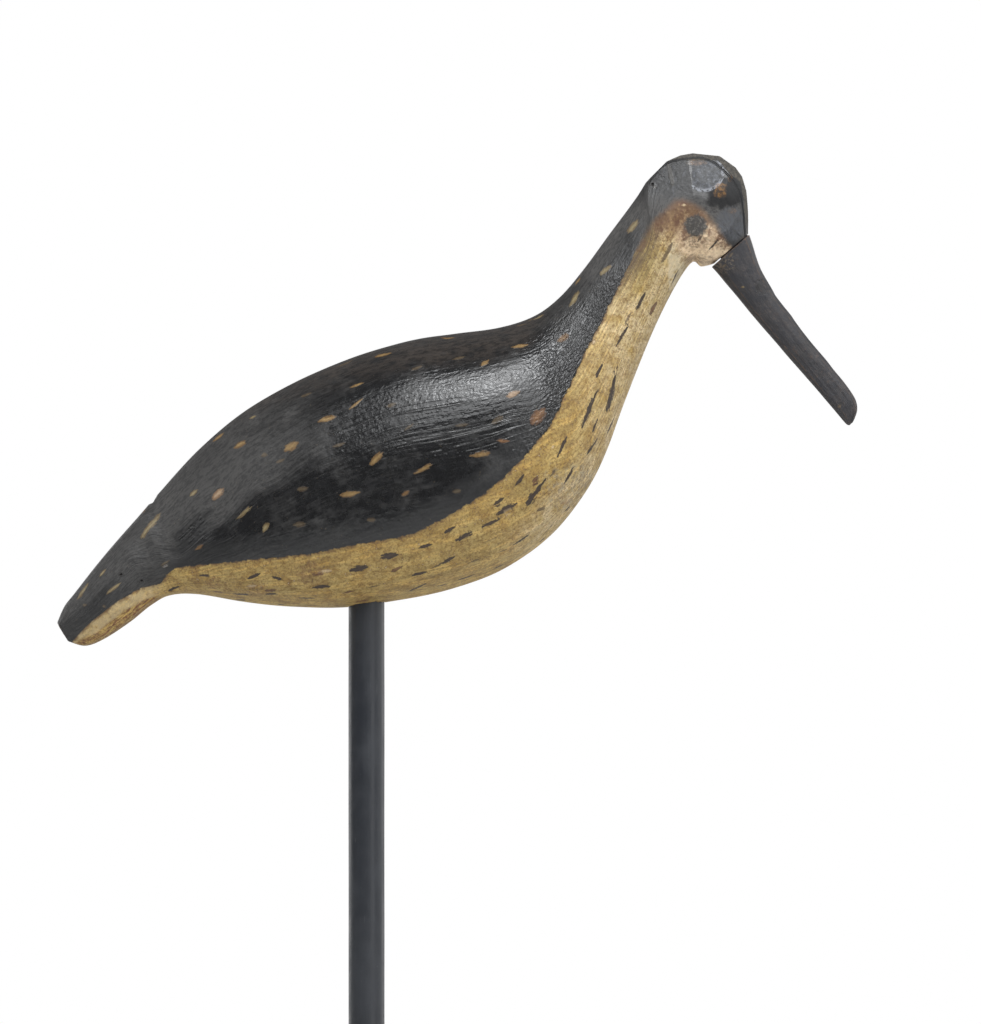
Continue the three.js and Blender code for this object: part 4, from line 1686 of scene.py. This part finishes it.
@dataclass(frozen=True)
class BillPaint:
    """The bill's thin charcoal paint, worn to brown wood along its edges.

    Attributes:
        charcoal: The paint's main colour.
        faded: Its colour where it has faded.
        wood: The wood under it, on worn edges.
        dust: The colour of the dust at the bill's base.
        soot_and_shade: The colour of its darkest places.
        marking: How the small marks look.
    """

    charcoal: Triple = (0.015, 0.015, 0.020)
    faded: Triple = (0.041, 0.035, 0.035)
    wood: Triple = (0.13, 0.074, 0.042)
    dust: Triple = (0.22, 0.17, 0.11)
    soot_and_shade: Triple = (0.012, 0.011, 0.012)
    marking: Marking = Marking()

    def material(self) -> bpy.types.Material:
        """Returns the paint as a material."""
        s = Shader("bill_paint")
        streak = s.fibres(0.08, 2.2, 5, 0.65)
        cloud = s.cloud(4, 6, 0.7)
        mottle = s.cloud(0.9, 4, 0.7)
        pale = cloud.step(0.4, 0.66) * 0.6 + mottle.step(0.45, 0.65) * 0.3
        colour = s.mix(self.charcoal, self.faded, pale.least(1))
        bare = (streak * 0.4 + mottle * 0.6).step(0.53, 0.66) * cloud.step(0.4, 0.6)
        colour = s.mix(colour, self.wood, bare * 0.45)
        middle = side_oval(803, 350, (9, 22)).mask(s, 0.8, 4)
        colour = s.mix(colour, self.soot_and_shade, middle * streak.step(0.55, 0.4) * 0.8)
        worn = s.attribute(RIDGE).step(0.02, 0.1) * s.cloud(1.8, 5, 0.7).step(0.36, 0.56)
        colour = s.mix(colour, self.wood, worn * 0.8)
        base = side_oval(724, 264, (12, 13), 7 * MM).mask(s, 1.0, 3)
        colour = s.mix(colour, self.dust, base * mottle.step(0.48, 0.66) * 0.5)
        knot = side_oval(763, 286.5, (8, 8), 6 * MM).mask(s, 0.8, 1.6)
        colour = s.mix(colour, self.soot_and_shade, knot * mottle.step(0.62, 0.46) * 0.85)
        colour, marks = self.marking.over(s, colour)
        roughness = 0.48 + streak.step(0.4, 0.7) * 0.14 + marks * 0.1
        lumps = s.cloud(1.1, 2, 0.65) * 0.12 + s.cloud(3.5, 2) * 0.16
        relief = streak * 0.1 + lumps - knot * 0.2
        return s.finish(colour, roughness, relief, Specular_IOR_Level=SHEEN)


@dataclass(frozen=True)
class StandPaint:
    """The stand's dark slate paint, rubbed and lightly scratched.

    Attributes:
        slate: The paint's colour.
        rubbed: Its colour where it is rubbed.
        scratch: The colour of its scratches.
        wood: The wood under it, on worn edges.
        upright: Whether the wood's fibres stand upright.
    """

    slate: Triple = (0.0095, 0.0125, 0.019)
    rubbed: Triple = (0.022, 0.026, 0.034)
    scratch: Triple = (0.17, 0.17, 0.17)
    wood: Triple = (0.20, 0.13, 0.07)
    upright: bool = True

    def material(self, name: str) -> bpy.types.Material:
        """Returns the paint as a material of that name."""
        s = Shader(name)
        along = (1, 1, 0.05) if self.upright else (0.05, 1, 1)
        fibre = s.noise(s.stretched(s.place, *along), 1.3, 4)
        cloud = s.cloud(12, 4)
        thin = cloud.step(0.4, 0.7) * 0.6 + fibre.step(0.5, 0.8) * 0.4
        colour = s.mix(self.slate, self.rubbed, thin.least(1))
        lines = s.noise(s.stretched(s.place, *along), 0.5, 1).step(0.735, 0.76)
        scratched = lines * s.cloud(14, 2).step(0.52, 0.66)
        specks = s.cloud(0.7, 2).step(0.72, 0.76) * 0.5
        colour = s.mix(colour, self.scratch, (scratched + specks).least(1) * 0.55)
        worn = s.attribute(RIDGE).step(0.09, 0.2) * s.cloud(2.5, 4).step(0.5, 0.62)
        colour = s.mix(colour, self.wood, worn * 0.6)
        roughness = 0.38 + cloud.step(0.35, 0.7) * 0.14
        relief = fibre * 0.05 + s.cloud(1.8, 3) * 0.04 - scratched * 0.03
        return s.finish(colour, roughness, relief, Specular_IOR_Level=SHEEN)


# Pieces

@dataclass
class CarvedBody:
    """The bird from tail to crown: one piece of carved and painted wood.

    Attributes:
        length: From the tail's tip to the forehead.
        width: Across the shoulders.
        belly_height: Where the dowel meets the belly.
        dowel_radius: The dowel's radius.
        socket_depth: How deep the dowel goes in.
        tenon_radius: The bill's tenon's radius.
        tenon_length: The bill's tenon's length.
        fit_gap: The room round the dowel and the tenon.
        notch_depth: How deep the knife's notch across the tail's root is.
        notch_length: How long it is.
        notch_deepest: How far along its length it is deepest.
        rabbet_depth: How far the bill's seat is let into the face.
        seat_share: How large the let-in floor is, as a share of the seat.
        seat_lift: How far above the seat's middle it lies, as a share of the seat's depth.
        hole_radius: A nail hole's radius.
        hole_dent: How deep a nail hole is.
        STATIONS: The outline's upper and lower points in hundredths of the length, the half width as a share,
            the section, how crisp its flats are, and its shoulder's height.
        HEAD_FLATS: A point of each flat, in hundredths of the length, how far out it lies as a share of the
            width, and how far it faces up and ahead in degrees.
        CROWN_CUTS: The ends of the crown's flats, in hundredths of the length, and how far out the chamfer
            beside each lies, as a share of the width.
        FLECKS, FIRST_FLECK, FLECK_STEP: How many more flecks the breast gets, and where, counted in stations.
        DASHES, FIRST_DASH, DASH_STEP: The same for the dashes along the back.
        TAIL_STATION, ROOT_STATION, HEAD_STATION: The stations on the tail, at its root and at the throat.
        HEAD_DEPTH: How far the head's side stands out from the middle, as a share of the width.
    """

    length: float
    width: float
    belly_height: float
    dowel_radius: float
    socket_depth: float = 30 * MM
    tenon_radius: float = 3 * MM
    tenon_length: float = 14 * MM
    fit_gap: float = 0.3 * MM
    notch_depth: float = 0.7 * MM
    notch_length: float = 4.6 * MM
    notch_deepest: float = 0.68
    rabbet_depth: float = 1 * MM
    seat_share: float = 0.92
    seat_lift: float = 0.25
    hole_radius: float = 0.5 * MM
    hole_dent: float = 0.6 * MM

    STATIONS = (
        ((-44.8, -2.6), (-43.1, -5.4), 0.16, Section.TAIL, 0.8, None),
        ((-43.8, -0.3), (-40.7, -6), 0.22, Section.TAIL, 0.8, None),
        ((-42.4, 1.5), (-38, -5), 0.26, Section.TAIL, 0.8, None),
        ((-39.6, 5), (-34.3, -2.6), 0.31, Section.TAIL, 0.8, None),
        ((-36, 9.3), (-31.2, -0.1), 0.34, Section.TAIL, 0.6, None),
        ((-32.8, 13), (-28.6, 1.3), 0.38, Section.TAIL, 0.3, 0.5),
        ((-30.3, 15.9), (-24.9, 1.5), 0.46, Section.BODY, SANDED, 0.4),
        ((-24.3, 22.4), (-18.3, 0.5), 0.65, Section.BODY, SANDED, 0.5),
        ((-16.2, 28.9), (-11.1, -0.3), 0.81, Section.BODY, SANDED, 0.61),
        ((-6, 34.2), (-3.1, -0.4), 0.93, Section.BODY, SANDED, 0.68),
        ((4.9, 37.9), (4.9, 0.6), 0.99, Section.BODY, SANDED, None),
        ((12.8, 39.2), (12.8, 2.4), 1, Section.BODY, SANDED, None),
        ((19.3, 40.1), (20.4, 5.4), 0.96, Section.BODY, SANDED, None),
        ((24.3, 41.8), (26.9, 10.2), 0.85, Section.BODY, SANDED, 0.67),
        ((28, 44.5), (31.7, 16.1), 0.69, Section.NECK, SANDED, None),
        ((31.4, 48.4), (35, 22.7), 0.54, Section.NECK, SANDED, None),
        ((35.3, 53.7), (38.5, 32.2), 0.43, Section.NECK, SANDED, None),
        ((39.1, 58.9), (42.1, 40.9), 0.375, Section.NECK, 0.2, None),
        ((41.5, 62.5), (45.2, 46.9), 0.375, Section.CROWN, 0.6, None),
        ((44.3, 64.8), (47.2, 49.6), 0.39, Section.CROWN, 1, None),
        ((48.3, 65.4), (48.4, 49), 0.39, Section.CROWN, 1, None),
        ((52.3, 64.3), (49.3, 49.1), 0.37, Section.FOREHEAD, 1, None),
        ((54.6, 61.5), (49.9, 49.25), 0.325, Section.FOREHEAD, 1, None),
        ((55.2, 57.9), (50.4, 49.45), 0.275, Section.FOREHEAD, 1, None),
        ((55.3, 53.7), (50.9, 49.9), 0.23, Section.SEAT, 0.8, None),
    )
    FLECKS, FIRST_FLECK, FLECK_STEP = 20, 6.9, 0.47
    DASHES, FIRST_DASH, DASH_STEP = 11, 5.2, 0.95
    TAIL_STATION = 4
    ROOT_STATION = 6
    HEAD_STATION = 16
    HEAD_DEPTH = 0.15
    HEAD_FLATS = (
        ((45.6, 60.6), 0.152, 20, -14),
        ((49.6, 60.8), 0.152, 23, 6),
        ((52.6, 54.6), 0.148, 0, 18),
        ((52.2, 59.2), 0.152, 10, 28),
    )
    CROWN_CUTS = (
        ((40.4, 61), 0.090), ((43.45, 64.05), 0.087), ((45.4, 64.92), 0.080), ((47.2, 65.25), 0.073),
        ((51.1, 64.85), 0.074), ((53.4, 63.2), 0.080), ((54.35, 61.85), 0.087), ((54.95, 59.8), 0.1),
        ((55.2, 57), 0.107), ((55.3, 54.5), 0.107),
    )

    @classmethod
    def from_frame(cls) -> "CarvedBody":
        """Takes the sizes from the frame's nodes."""
        low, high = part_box("dowel")
        return cls(BODY_LENGTH, BODY_HIGH.y - BODY_LOW.y, PHOTO.belly_height, (high.x - low.x) / 2)

    def __post_init__(self) -> None:
        """Scales the stations and finds the bill's seat."""
        self.stations = []
        for top, bottom, half, section, crisp, shoulder in self.STATIONS:
            upper, lower = ((x * self.length / 100, z * self.length / 100) for x, z in (top, bottom))
            self.stations.append(Station(upper, lower, half * self.width / 2, section, crisp, shoulder))
        self.loft = Loft(
            self.stations,
            points_per_flat=14,
            spacing=1 * MM,
            fine_from=self.HEAD_STATION,
            fine_spacing=0.6 * MM,
        )
        seat = self.stations[-1]
        top, bottom = (Vector((x, 0, z + self.belly_height)) for x, z in (seat.top, seat.bottom))
        self.seat_depth = (top - bottom).length
        self.seat_half = seat.half
        self.seat_up = (top - bottom).normalized()
        self.seat_middle = (top + bottom) / 2
        self.seat_facing = Vector((self.seat_up.z, 0, -self.seat_up.x))

    def head_point(self, at: Pair, out: float, side: int) -> Vector:
        """Returns a point beside the head, from hundredths of the length and a share of the width."""
        x, z = (share * self.length / 100 for share in at)
        return Vector((x, side * out * self.width, z + self.belly_height))

    def cut_head(self, bm: Mesh) -> None:
        """Cuts the knife's flats on both sides of the head."""
        for at, out, up, ahead in self.HEAD_FLATS:
            rise, turn = math.radians(up), math.radians(ahead)
            for side in (-1, 1):
                level = math.cos(rise)
                facing = Vector((math.sin(turn) * level, side * math.cos(turn) * level, math.sin(rise)))
                cut_flat(bm, self.head_point(at, out, side), facing, self.width / 2)

    def cut_crown(self, bm: Mesh) -> None:
        """Cuts the crown's outline into short flats, with a chamfer on both sides of each."""
        for (start, half), (end, _) in zip(self.CROWN_CUTS, self.CROWN_CUTS[1:]):
            middle = ((start[0] + end[0]) / 2, (start[1] + end[1]) / 2)
            out = Vector((start[1] - end[1], 0, end[0] - start[0])).normalized()
            cut_flat(bm, self.head_point(middle, 0, 1), out, self.width / 6)
            for side in (-1, 1):
                facing = (out + Vector((0, side, 0))).normalized()
                cut_flat(bm, self.head_point(middle, half, side), facing, self.width / 5)

    def cut_notch(self, bm: Mesh) -> None:
        """Cuts the notch across the tail's root: a slope in along the back, and a steeper one out."""
        root, tail = self.stations[self.ROOT_STATION].top, self.stations[self.TAIL_STATION].top
        start = Vector((root[0], 0, root[1] + self.belly_height))
        down = Vector((tail[0] - root[0], 0, tail[1] - root[1])).normalized()
        above = Vector((-down.z, 0, down.x))
        if above.z < 0:
            above.negate()
        deepest = self.notch_length * self.notch_deepest
        steep = self.notch_length - deepest
        for along in (0, deepest, self.notch_length):
            point = start + down * along
            faces = [f for f in bm.faces if (f.calc_center_median() - point).length < self.width / 4]
            geom = {*faces, *(e for f in faces for e in f.edges), *(v for f in faces for v in f.verts)}
            bmesh.ops.bisect_plane(bm, geom=list(geom), dist=SNAP, plane_co=point, plane_no=down)
        for vert in bm.verts:
            out = vert.co - start
            along, height = out.dot(down), out.dot(above)
            if not 0 <= along <= self.notch_length or abs(out.y) > self.width / 4:
                continue
            inward = along / deepest if along < deepest else (self.notch_length - along) / steep
            floor = -self.notch_depth * inward
            if height > floor:
                vert.co += above * (floor - height)

    def drill_belly(self, bm: Mesh) -> None:
        """Drills the blind hole for the dowel."""
        radius = self.dowel_radius + self.fit_gap
        bm.normal_update()
        faces = []
        for face in bm.faces:
            middle = face.calc_center_median()
            if math.hypot(middle.x, middle.y) < radius and middle.z < self.belly_height + radius:
                faces.append(face)
        bmesh.ops.delete(bm, geom=faces, context="FACES")
        edges = ring_edges(bm, Vector((0, 0, self.belly_height)))
        for vert in {vert for edge in edges for vert in edge.verts}:
            level = Vector((vert.co.x, vert.co.y, 0)).normalized() * radius
            vert.co.x, vert.co.y = level.x, level.y
        verts, loop = extruded(bm, edges)
        for vert in verts:
            vert.co.z = self.belly_height + self.socket_depth
        bmesh.ops.contextual_create(bm, geom=loop)

    def punch_holes(self, bm: Mesh) -> None:
        """Presses the small nail holes of the head and tail into both sides."""
        painter = Painter(bm, 0)
        hits = [painter.cast(mark.column, mark.row) for mark in NAIL_HOLES]
        for place, normal in [hit for hit in hits if hit]:
            reach = 3 * self.hole_radius
            faces = [f for f in bm.faces if (f.calc_center_median() - place).length < reach]
            edges = list({edge for face in faces for edge in face.edges})
            bmesh.ops.subdivide_edges(bm, edges=edges, cuts=2, use_grid_fill=True)
            for vert in bm.verts:
                away = (vert.co - place).length / self.hole_radius
                if away < 1:
                    vert.co -= normal * (1 - away * away) * self.hole_dent

    def mesh(self) -> Mesh:
        """Returns the finished carving."""
        bm = lofted_mesh(self.loft, Matrix.Translation((0, 0, self.belly_height)))
        self.cut_head(bm)
        self.cut_crown(bm)
        self.cut_notch(bm)
        throat = self.stations[self.HEAD_STATION].bottom[0]
        roughen(bm, broad=Waves(21 * MM, 0.22), fine=Waves(8 * MM, 0.14), stretch=3, calm_from=throat)
        self.drill_belly(bm)
        first = self.stations[0]
        tail_end = Vector((first.top[0], 0, first.top[1] + self.belly_height))
        cap_end(bm, ring_edges(bm, tail_end), rings=5)
        radius = self.tenon_radius + self.fit_gap
        inward = -self.seat_facing * self.rabbet_depth
        upper = self.seat_middle + self.seat_up * self.seat_lift * self.seat_depth
        seat = stepped_end(bm, ring_edges(bm, self.seat_middle), upper, self.seat_share, inward)
        depth = self.tenon_length - self.rabbet_depth
        socket_in_end(bm, seat, self.seat_middle + inward, -self.seat_facing, radius, depth)
        bmesh.ops.recalc_face_normals(bm, faces=bm.faces)
        self.punch_holes(bm)
        return bm

    def breast_marks(self, painter: Painter) -> list[Mark]:
        """Strews more flecks over the breast and belly, where neither side's marks reach."""
        marks = []
        rng = painter.random
        for row in range(self.FLECKS):
            side = (-1, 1)[row % 2]
            share = rng.uniform(0.9, 0.985)
            at = self.FIRST_FLECK + self.FLECK_STEP * row + rng.uniform(-0.15, 0.15)
            lift = Vector((0, 0, self.belly_height))
            start = self.loft.surface(at, share, side) + lift
            further, lower = at + rng.uniform(0.12, 0.26), share + rng.uniform(-0.01, 0.01)
            end = self.loft.surface(further, lower, side) + lift
            if math.hypot(start.x, start.y) < 3 * self.dowel_radius:
                continue
            hit = painter.tree.find_nearest((start + end) / 2)
            marks.append(mark_between(start, end, hit[1], rng.uniform(0.9, 1.9) * MM, 0.2, Tone.FLECK))
        return marks

    def back_marks(self, painter: Painter) -> list[Mark]:
        """Strews a few tan dashes along the top of the back."""
        marks = []
        rng = painter.random
        for row in range(self.DASHES):
            at = self.FIRST_DASH + row * self.DASH_STEP + rng.uniform(-0.2, 0.2)
            share, side = rng.uniform(0.02, 0.12), (-1, 1)[row % 2]
            lift = Vector((0, 0, self.belly_height))
            start = self.loft.surface(at, share, side) + lift
            end = self.loft.surface(at + 0.2, share + rng.uniform(-0.02, 0.02), side) + lift
            hit = painter.tree.find_nearest((start + end) / 2)
            tone = rng.choice((Tone.TAN, Tone.STRAW, Tone.ORANGE, Tone.DULL))
            marks.append(mark_between(start, end, hit[1], rng.uniform(1.4, 2.2) * MM, 0, tone))
        return marks

    def build(self) -> Piece:
        """Builds and paints the body."""
        bm = self.mesh()
        bmesh.ops.recalc_face_normals(bm, faces=bm.faces)
        ridges = ridge_values(bm, 2)
        points, normals = mesh_arrays(bm)
        upward = blurred(bm, normals[:, 2], 4)
        painter = Painter(bm, 7)
        painter.lay_all(BODY_MARKS)
        painter.marks += self.breast_marks(painter) + self.back_marks(painter)
        piece = finished_piece(bm, "painted_body", CARVED_SHARP)
        write(piece.data, RIDGE, ridges)
        write(piece.data, UPWARD, upward)
        write(piece.data, SIDEWAYS, normals[:, 1])
        write(piece.data, CROWN, crown_distances(points))
        write(piece.data, BORDER, border_distances(points))
        painter.write(piece.data)
        piece.data.materials.append(BirdPaint(self.HEAD_DEPTH * self.width).material())
        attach(piece, BODY)
        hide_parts("carved_body")
        return piece


@dataclass
class Bill:
    """The bill: a separate piece of wood, held in the face by a round tenon.

    Attributes:
        body: The carving that it is let into.
        length: Its length.
        seam: The open joint between face and bill.
        tip_drop: How far the tip's middle lies below the axis, as a share of the seat's depth.
        land_share: How large the base's let-in end is, as a share of the base.
        land_lift: How far above the base's middle it lies, as a share of the seat's depth.
        STATIONS: How far along it lies, the top and bottom as shares of the seat's depth, and the width as a
            share of the seat's.
    """

    body: CarvedBody
    length: float = 74 * MM
    seam: float = 0.5 * MM
    tip_drop: float = 0.65
    land_share: float = 0.72
    land_lift: float = 0.38

    CRISP = 0.6
    STATIONS = (
        (0, 0.49, -0.72, 0.9), (0.05, 0.39, -0.715, 0.86), (0.16, 0.15, -0.73, 0.76),
        (0.28, 0.026, -0.745, 0.665), (0.31, 0.0, -0.745, 0.65), (0.42, -0.022, -0.745, 0.59),
        (0.45, -0.04, -0.745, 0.575), (0.55, -0.075, -0.742, 0.53), (0.69, -0.095, -0.742, 0.485),
        (0.75, -0.11, -0.742, 0.47), (0.83, -0.122, -0.745, 0.45), (0.92, -0.175, -0.75, 0.41),
        (0.966, -0.3, -0.75, 0.34), (0.99, -0.48, -0.74, 0.24), (1, -0.6, -0.71, 0.13),
    )

    def mesh(self) -> Mesh:
        """Returns the finished carving."""
        body = self.body
        depth, half = body.seat_depth, body.seat_half
        stations = []
        for share, top, bottom, width in self.STATIONS:
            upper, lower = (share * self.length, top * depth), (share * self.length, bottom * depth)
            stations.append(Station(upper, lower, width * half, Section.BILL, self.CRISP))
        spacing = 0.5 * MM
        loft = Loft(stations, points_per_flat=8, spacing=spacing, fine_from=0, fine_spacing=spacing)
        base = body.seat_middle + body.seat_facing * self.seam
        axes = (body.seat_facing, Vector((0, 1, 0)), body.seat_up)
        turn = Matrix.Translation(base) @ Matrix(axes).transposed().to_4x4()
        bm = lofted_mesh(loft, turn)
        roughen(bm, broad=Waves(9 * MM, 0.16), fine=Waves(6 * MM, 0.12), stretch=4)
        tip = base + body.seat_facing * self.length - body.seat_up * self.tip_drop * depth
        cap_end(bm, ring_edges(bm, tip), rings=3)
        land = self.seam + body.rabbet_depth - body.fit_gap
        inward = -body.seat_facing * land
        toward = base + body.seat_up * self.land_lift * depth
        end = stepped_end(bm, ring_edges(bm, base), toward, self.land_share, inward)
        reach = body.tenon_length - self.seam - land
        socket_in_end(bm, end, base + inward, -body.seat_facing, body.tenon_radius, reach)
        return bm

    def build(self) -> Piece:
        """Builds and paints the bill."""
        bm = self.mesh()
        bmesh.ops.recalc_face_normals(bm, faces=bm.faces)
        ridges = ridge_values(bm, 2)
        painter = Painter(bm, 11)
        painter.lay_all(BILL_MARKS)
        piece = finished_piece(bm, "painted_bill", CARVED_SHARP)
        write(piece.data, RIDGE, ridges)
        painter.write(piece.data)
        piece.data.materials.append(BillPaint().material())
        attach(piece, BODY)
        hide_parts("bill")
        return piece


@dataclass
class Stand:
    """The dowel and its round foot.

    Attributes:
        foot_radius: The foot's radius.
        foot_height: The foot's height.
        dowel_radius: The dowel's radius.
        dowel_low: The dowel's lower end.
        dowel_high: The dowel's upper end.
        top_round: The round of the foot's upper edge.
        bottom_chamfer: The chamfer of the foot's lower edge.
        fit_gap: The room round the dowel.
    """

    foot_radius: float
    foot_height: float
    dowel_radius: float
    dowel_low: float
    dowel_high: float
    top_round: float = 4 * MM
    bottom_chamfer: float = 0.8 * MM
    fit_gap: float = 0.3 * MM

    @classmethod
    def from_frame(cls) -> "Stand":
        """Takes the sizes from the frame's nodes."""
        foot_low, foot_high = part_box("foot")
        low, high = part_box("dowel")
        return cls((foot_high.x - foot_low.x) / 2, foot_high.z, (high.x - low.x) / 2, low.z, high.z)

    def dowel(self) -> Piece:
        """Builds and paints the dowel."""
        bm = bmesh.new()
        bmesh.ops.create_circle(bm, segments=128, radius=self.dowel_radius)
        bmesh.ops.translate(bm, vec=(0, 0, self.dowel_low), verts=bm.verts)
        steps = round((self.dowel_high - self.dowel_low) / (1.5 * MM))
        rise = (0, 0, (self.dowel_high - self.dowel_low) / steps)
        edges = list(bm.edges)
        bmesh.ops.spin(bm, geom=edges, cent=(0, 0, 0), axis=(0, 0, 1), dvec=rise, angle=0, steps=steps)
        for end in (self.dowel_low, self.dowel_high):
            cap_end(bm, ring_edges(bm, Vector((0, 0, end))), rings=2)
        bm.normal_update()
        for vert in bm.verts:
            level = Vector((vert.normal.x, vert.normal.y, 0))
            place = Vector((vert.co.x * 60, vert.co.y * 60, vert.co.z * 25))
            vert.co += level * noise.noise(place) * 0.07 * MM
        return self.painted(bm, "painted_dowel", "dowel", StandPaint(upright=True))

    def foot(self) -> Piece:
        """Builds and paints the foot."""
        socket = self.dowel_radius + self.fit_gap
        floor = self.dowel_low - self.fit_gap
        corners = [
            (0, 0), (self.foot_radius, 0), (self.foot_radius, self.foot_height),
            (socket, self.foot_height), (socket, floor), (0, floor),
        ]
        bm = bmesh.new()
        verts = [bm.verts.new((x, 0, z)) for x, z in corners]
        for pair in zip(verts, verts[1:]):
            bm.edges.new(pair)
        bevel = {"affect": "VERTICES", "profile": 0.5, "material": -1, "offset_type": "OFFSET"}
        lower, upper = verts[1], verts[2]
        bmesh.ops.bevel(bm, geom=[upper], offset=self.top_round, segments=10, **bevel)
        bmesh.ops.bevel(bm, geom=[lower], offset=self.bottom_chamfer, segments=2, **bevel)
        long = [edge for edge in bm.edges if edge.calc_length() > 3 * MM]
        bmesh.ops.subdivide_edges(bm, edges=long, cuts=18)
        bmesh.ops.spin(
            bm, geom=list(bm.edges), cent=(0, 0, 0), axis=(0, 0, 1), angle=math.tau, steps=192, use_merge=True
        )
        bmesh.ops.remove_doubles(bm, verts=bm.verts, dist=SNAP)
        return self.painted(bm, "painted_foot", "foot", StandPaint(upright=False))

    def painted(self, bm: Mesh, name: str, node: str, paint: StandPaint) -> Piece:
        """Makes a piece of the stand from its mesh.

        Args:
            bm: The mesh, which is freed.
            name: The piece's name.
            node: The node that it stands for.
            paint: Its finish.

        Returns:
            The piece.
        """
        bmesh.ops.recalc_face_normals(bm, faces=bm.faces)
        ridges = ridge_values(bm, 1)
        piece = finished_piece(bm, name, TURNED_SHARP)
        write(piece.data, RIDGE, ridges)
        piece.data.materials.append(paint.material(f"{name}_paint"))
        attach(piece, BODY)
        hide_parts(node)
        return piece

    def build(self) -> list[Piece]:
        """Builds the dowel and the foot."""
        return [self.dowel(), self.foot()]


# Studio

@dataclass(frozen=True)
class Softbox:
    """A soft rectangular light, placed as seen from the bird.

    Attributes:
        name: Its name.
        azimuth: How far it stands to the right of the camera, in degrees.
        elevation: How far it stands above level, in degrees.
        size: Its width and height.
        glow: How bright its face is.
        distance: How far away it stands.
        colour: Its colour.
    """

    name: str
    azimuth: float
    elevation: float
    size: Pair
    glow: float
    distance: float = 1.3
    colour: Triple = (1, 1, 1)

    def build(self, aim: Vector) -> None:
        """Adds the light, facing a point."""
        round_bird, rise = math.radians(self.azimuth), math.radians(self.elevation)
        level = math.cos(rise)
        out = Vector((math.sin(round_bird) * level, -math.cos(round_bird) * level, math.sin(rise)))
        light = bpy.data.lights.new(self.name, "AREA")
        light.shape = "RECTANGLE"
        light.size, light.size_y = self.size
        light.energy = self.glow * math.pi * self.size[0] * self.size[1]
        light.color = self.colour
        lamp = bpy.data.objects.new(self.name, light)
        lamp.location = aim + out * self.distance
        lamp.rotation_euler = (-out).to_track_quat("-Z", "Y").to_euler()
        lamp.visible_camera = False
        bpy.context.scene.collection.objects.link(lamp)


@dataclass
class Studio:
    """A pale round table top in a white room, with soft lights and the camera.

    Attributes:
        floor_radius: The table top's radius.
        room: How bright the room is, where no light stands.
    """

    floor_radius: float = 0.44
    room: float = 0.165

    LIGHTS = (
        Softbox("key", 13, 48, (1.3, 1.5), 2.6, colour=(0.97, 0.985, 1.0)),
        Softbox("core", 13, 57, (0.45, 0.38), 9.0, colour=(0.97, 0.985, 1.0)),
        Softbox("left", -74, 26, (0.8, 0.8), 1.1),
        Softbox("front_right", 42, 0, (0.45, 0.6), 1.7),
        Softbox("right", 88, 18, (0.8, 1.0), 1.6),
        Softbox("behind_left", -135, 2, (0.8, 0.9), 1.6),
        Softbox("behind_right", 130, 4, (0.8, 0.9), 1.3),
    )

    def camera(self) -> None:
        """Adds the camera, at the photograph's viewing angle."""
        camera = bpy.data.cameras.new("camera")
        camera.sensor_fit = "HORIZONTAL"
        camera.sensor_width = PHOTO.sensor
        camera.lens = PHOTO.lens()
        camera.clip_end = 20
        stand = bpy.data.objects.new("camera", camera)
        stand.location = PHOTO.eye()
        stand.rotation_euler = (math.radians(90), 0, 0)
        bpy.context.scene.collection.objects.link(stand)
        bpy.context.scene.camera = stand

    def floor(self) -> None:
        """Adds the table top."""
        bm = bmesh.new()
        bmesh.ops.create_circle(bm, cap_ends=True, segments=128, radius=self.floor_radius)
        floor = finished_piece(bm, "table_top", 30)
        s = Shader("table_top_paint")
        tint = s.cloud(40, 3)
        colour = s.mix((0.86, 0.86, 0.85), (0.82, 0.82, 0.81), tint)
        floor.data.materials.append(s.finish(colour, 0.7, s.cloud(2, 2) * 0.02))

    def surroundings(self) -> None:
        """Makes the room: white to look at, and dim as a light."""
        world = bpy.data.worlds.new("room")
        world.use_nodes = True
        tree = world.node_tree
        tree.nodes.clear()
        seen = tree.nodes.new("ShaderNodeLightPath")
        dim, white = (tree.nodes.new("ShaderNodeBackground") for _ in range(2))
        dim.inputs["Strength"].default_value = self.room
        dim.inputs["Color"].default_value = white.inputs["Color"].default_value = (1, 1, 1, 1)
        mix = tree.nodes.new("ShaderNodeMixShader")
        output = tree.nodes.new("ShaderNodeOutputWorld")
        tree.links.new(seen.outputs["Is Camera Ray"], mix.inputs[0])
        tree.links.new(dim.outputs[0], mix.inputs[1])
        tree.links.new(white.outputs[0], mix.inputs[2])
        tree.links.new(mix.outputs[0], output.inputs["Surface"])
        bpy.context.scene.world = world
        bpy.context.scene.view_settings.view_transform = "Standard"

    def build(self) -> None:
        """Sets up the whole studio."""
        self.camera()
        self.surroundings()
        self.floor()
        for light in self.LIGHTS:
            light.build(Vector((0, 0, PHOTO.belly_height)))


def report(piece: Piece) -> None:
    """Logs a piece's size and how many triangles it has."""
    triangles = sum(len(polygon.vertices) - 2 for polygon in piece.data.polygons)
    size = [round(length / MM, 1) for length in piece.dimensions]
    LOG.info("%s: %d triangles, %s mm", piece.name, triangles, size)


def main() -> None:
    """Builds the decoy, its stand and the studio."""
    logging.basicConfig(level=logging.INFO, format="%(message)s")
    body = CarvedBody.from_frame()
    LOG.info("body %.1f mm long, belly at %.1f mm", body.length / MM, body.belly_height / MM)
    pieces = [body.build(), Bill(body).build(), *Stand.from_frame().build()]
    for piece in pieces:
        report(piece)
    Studio().build()


if __name__ == "__main__":
    main()
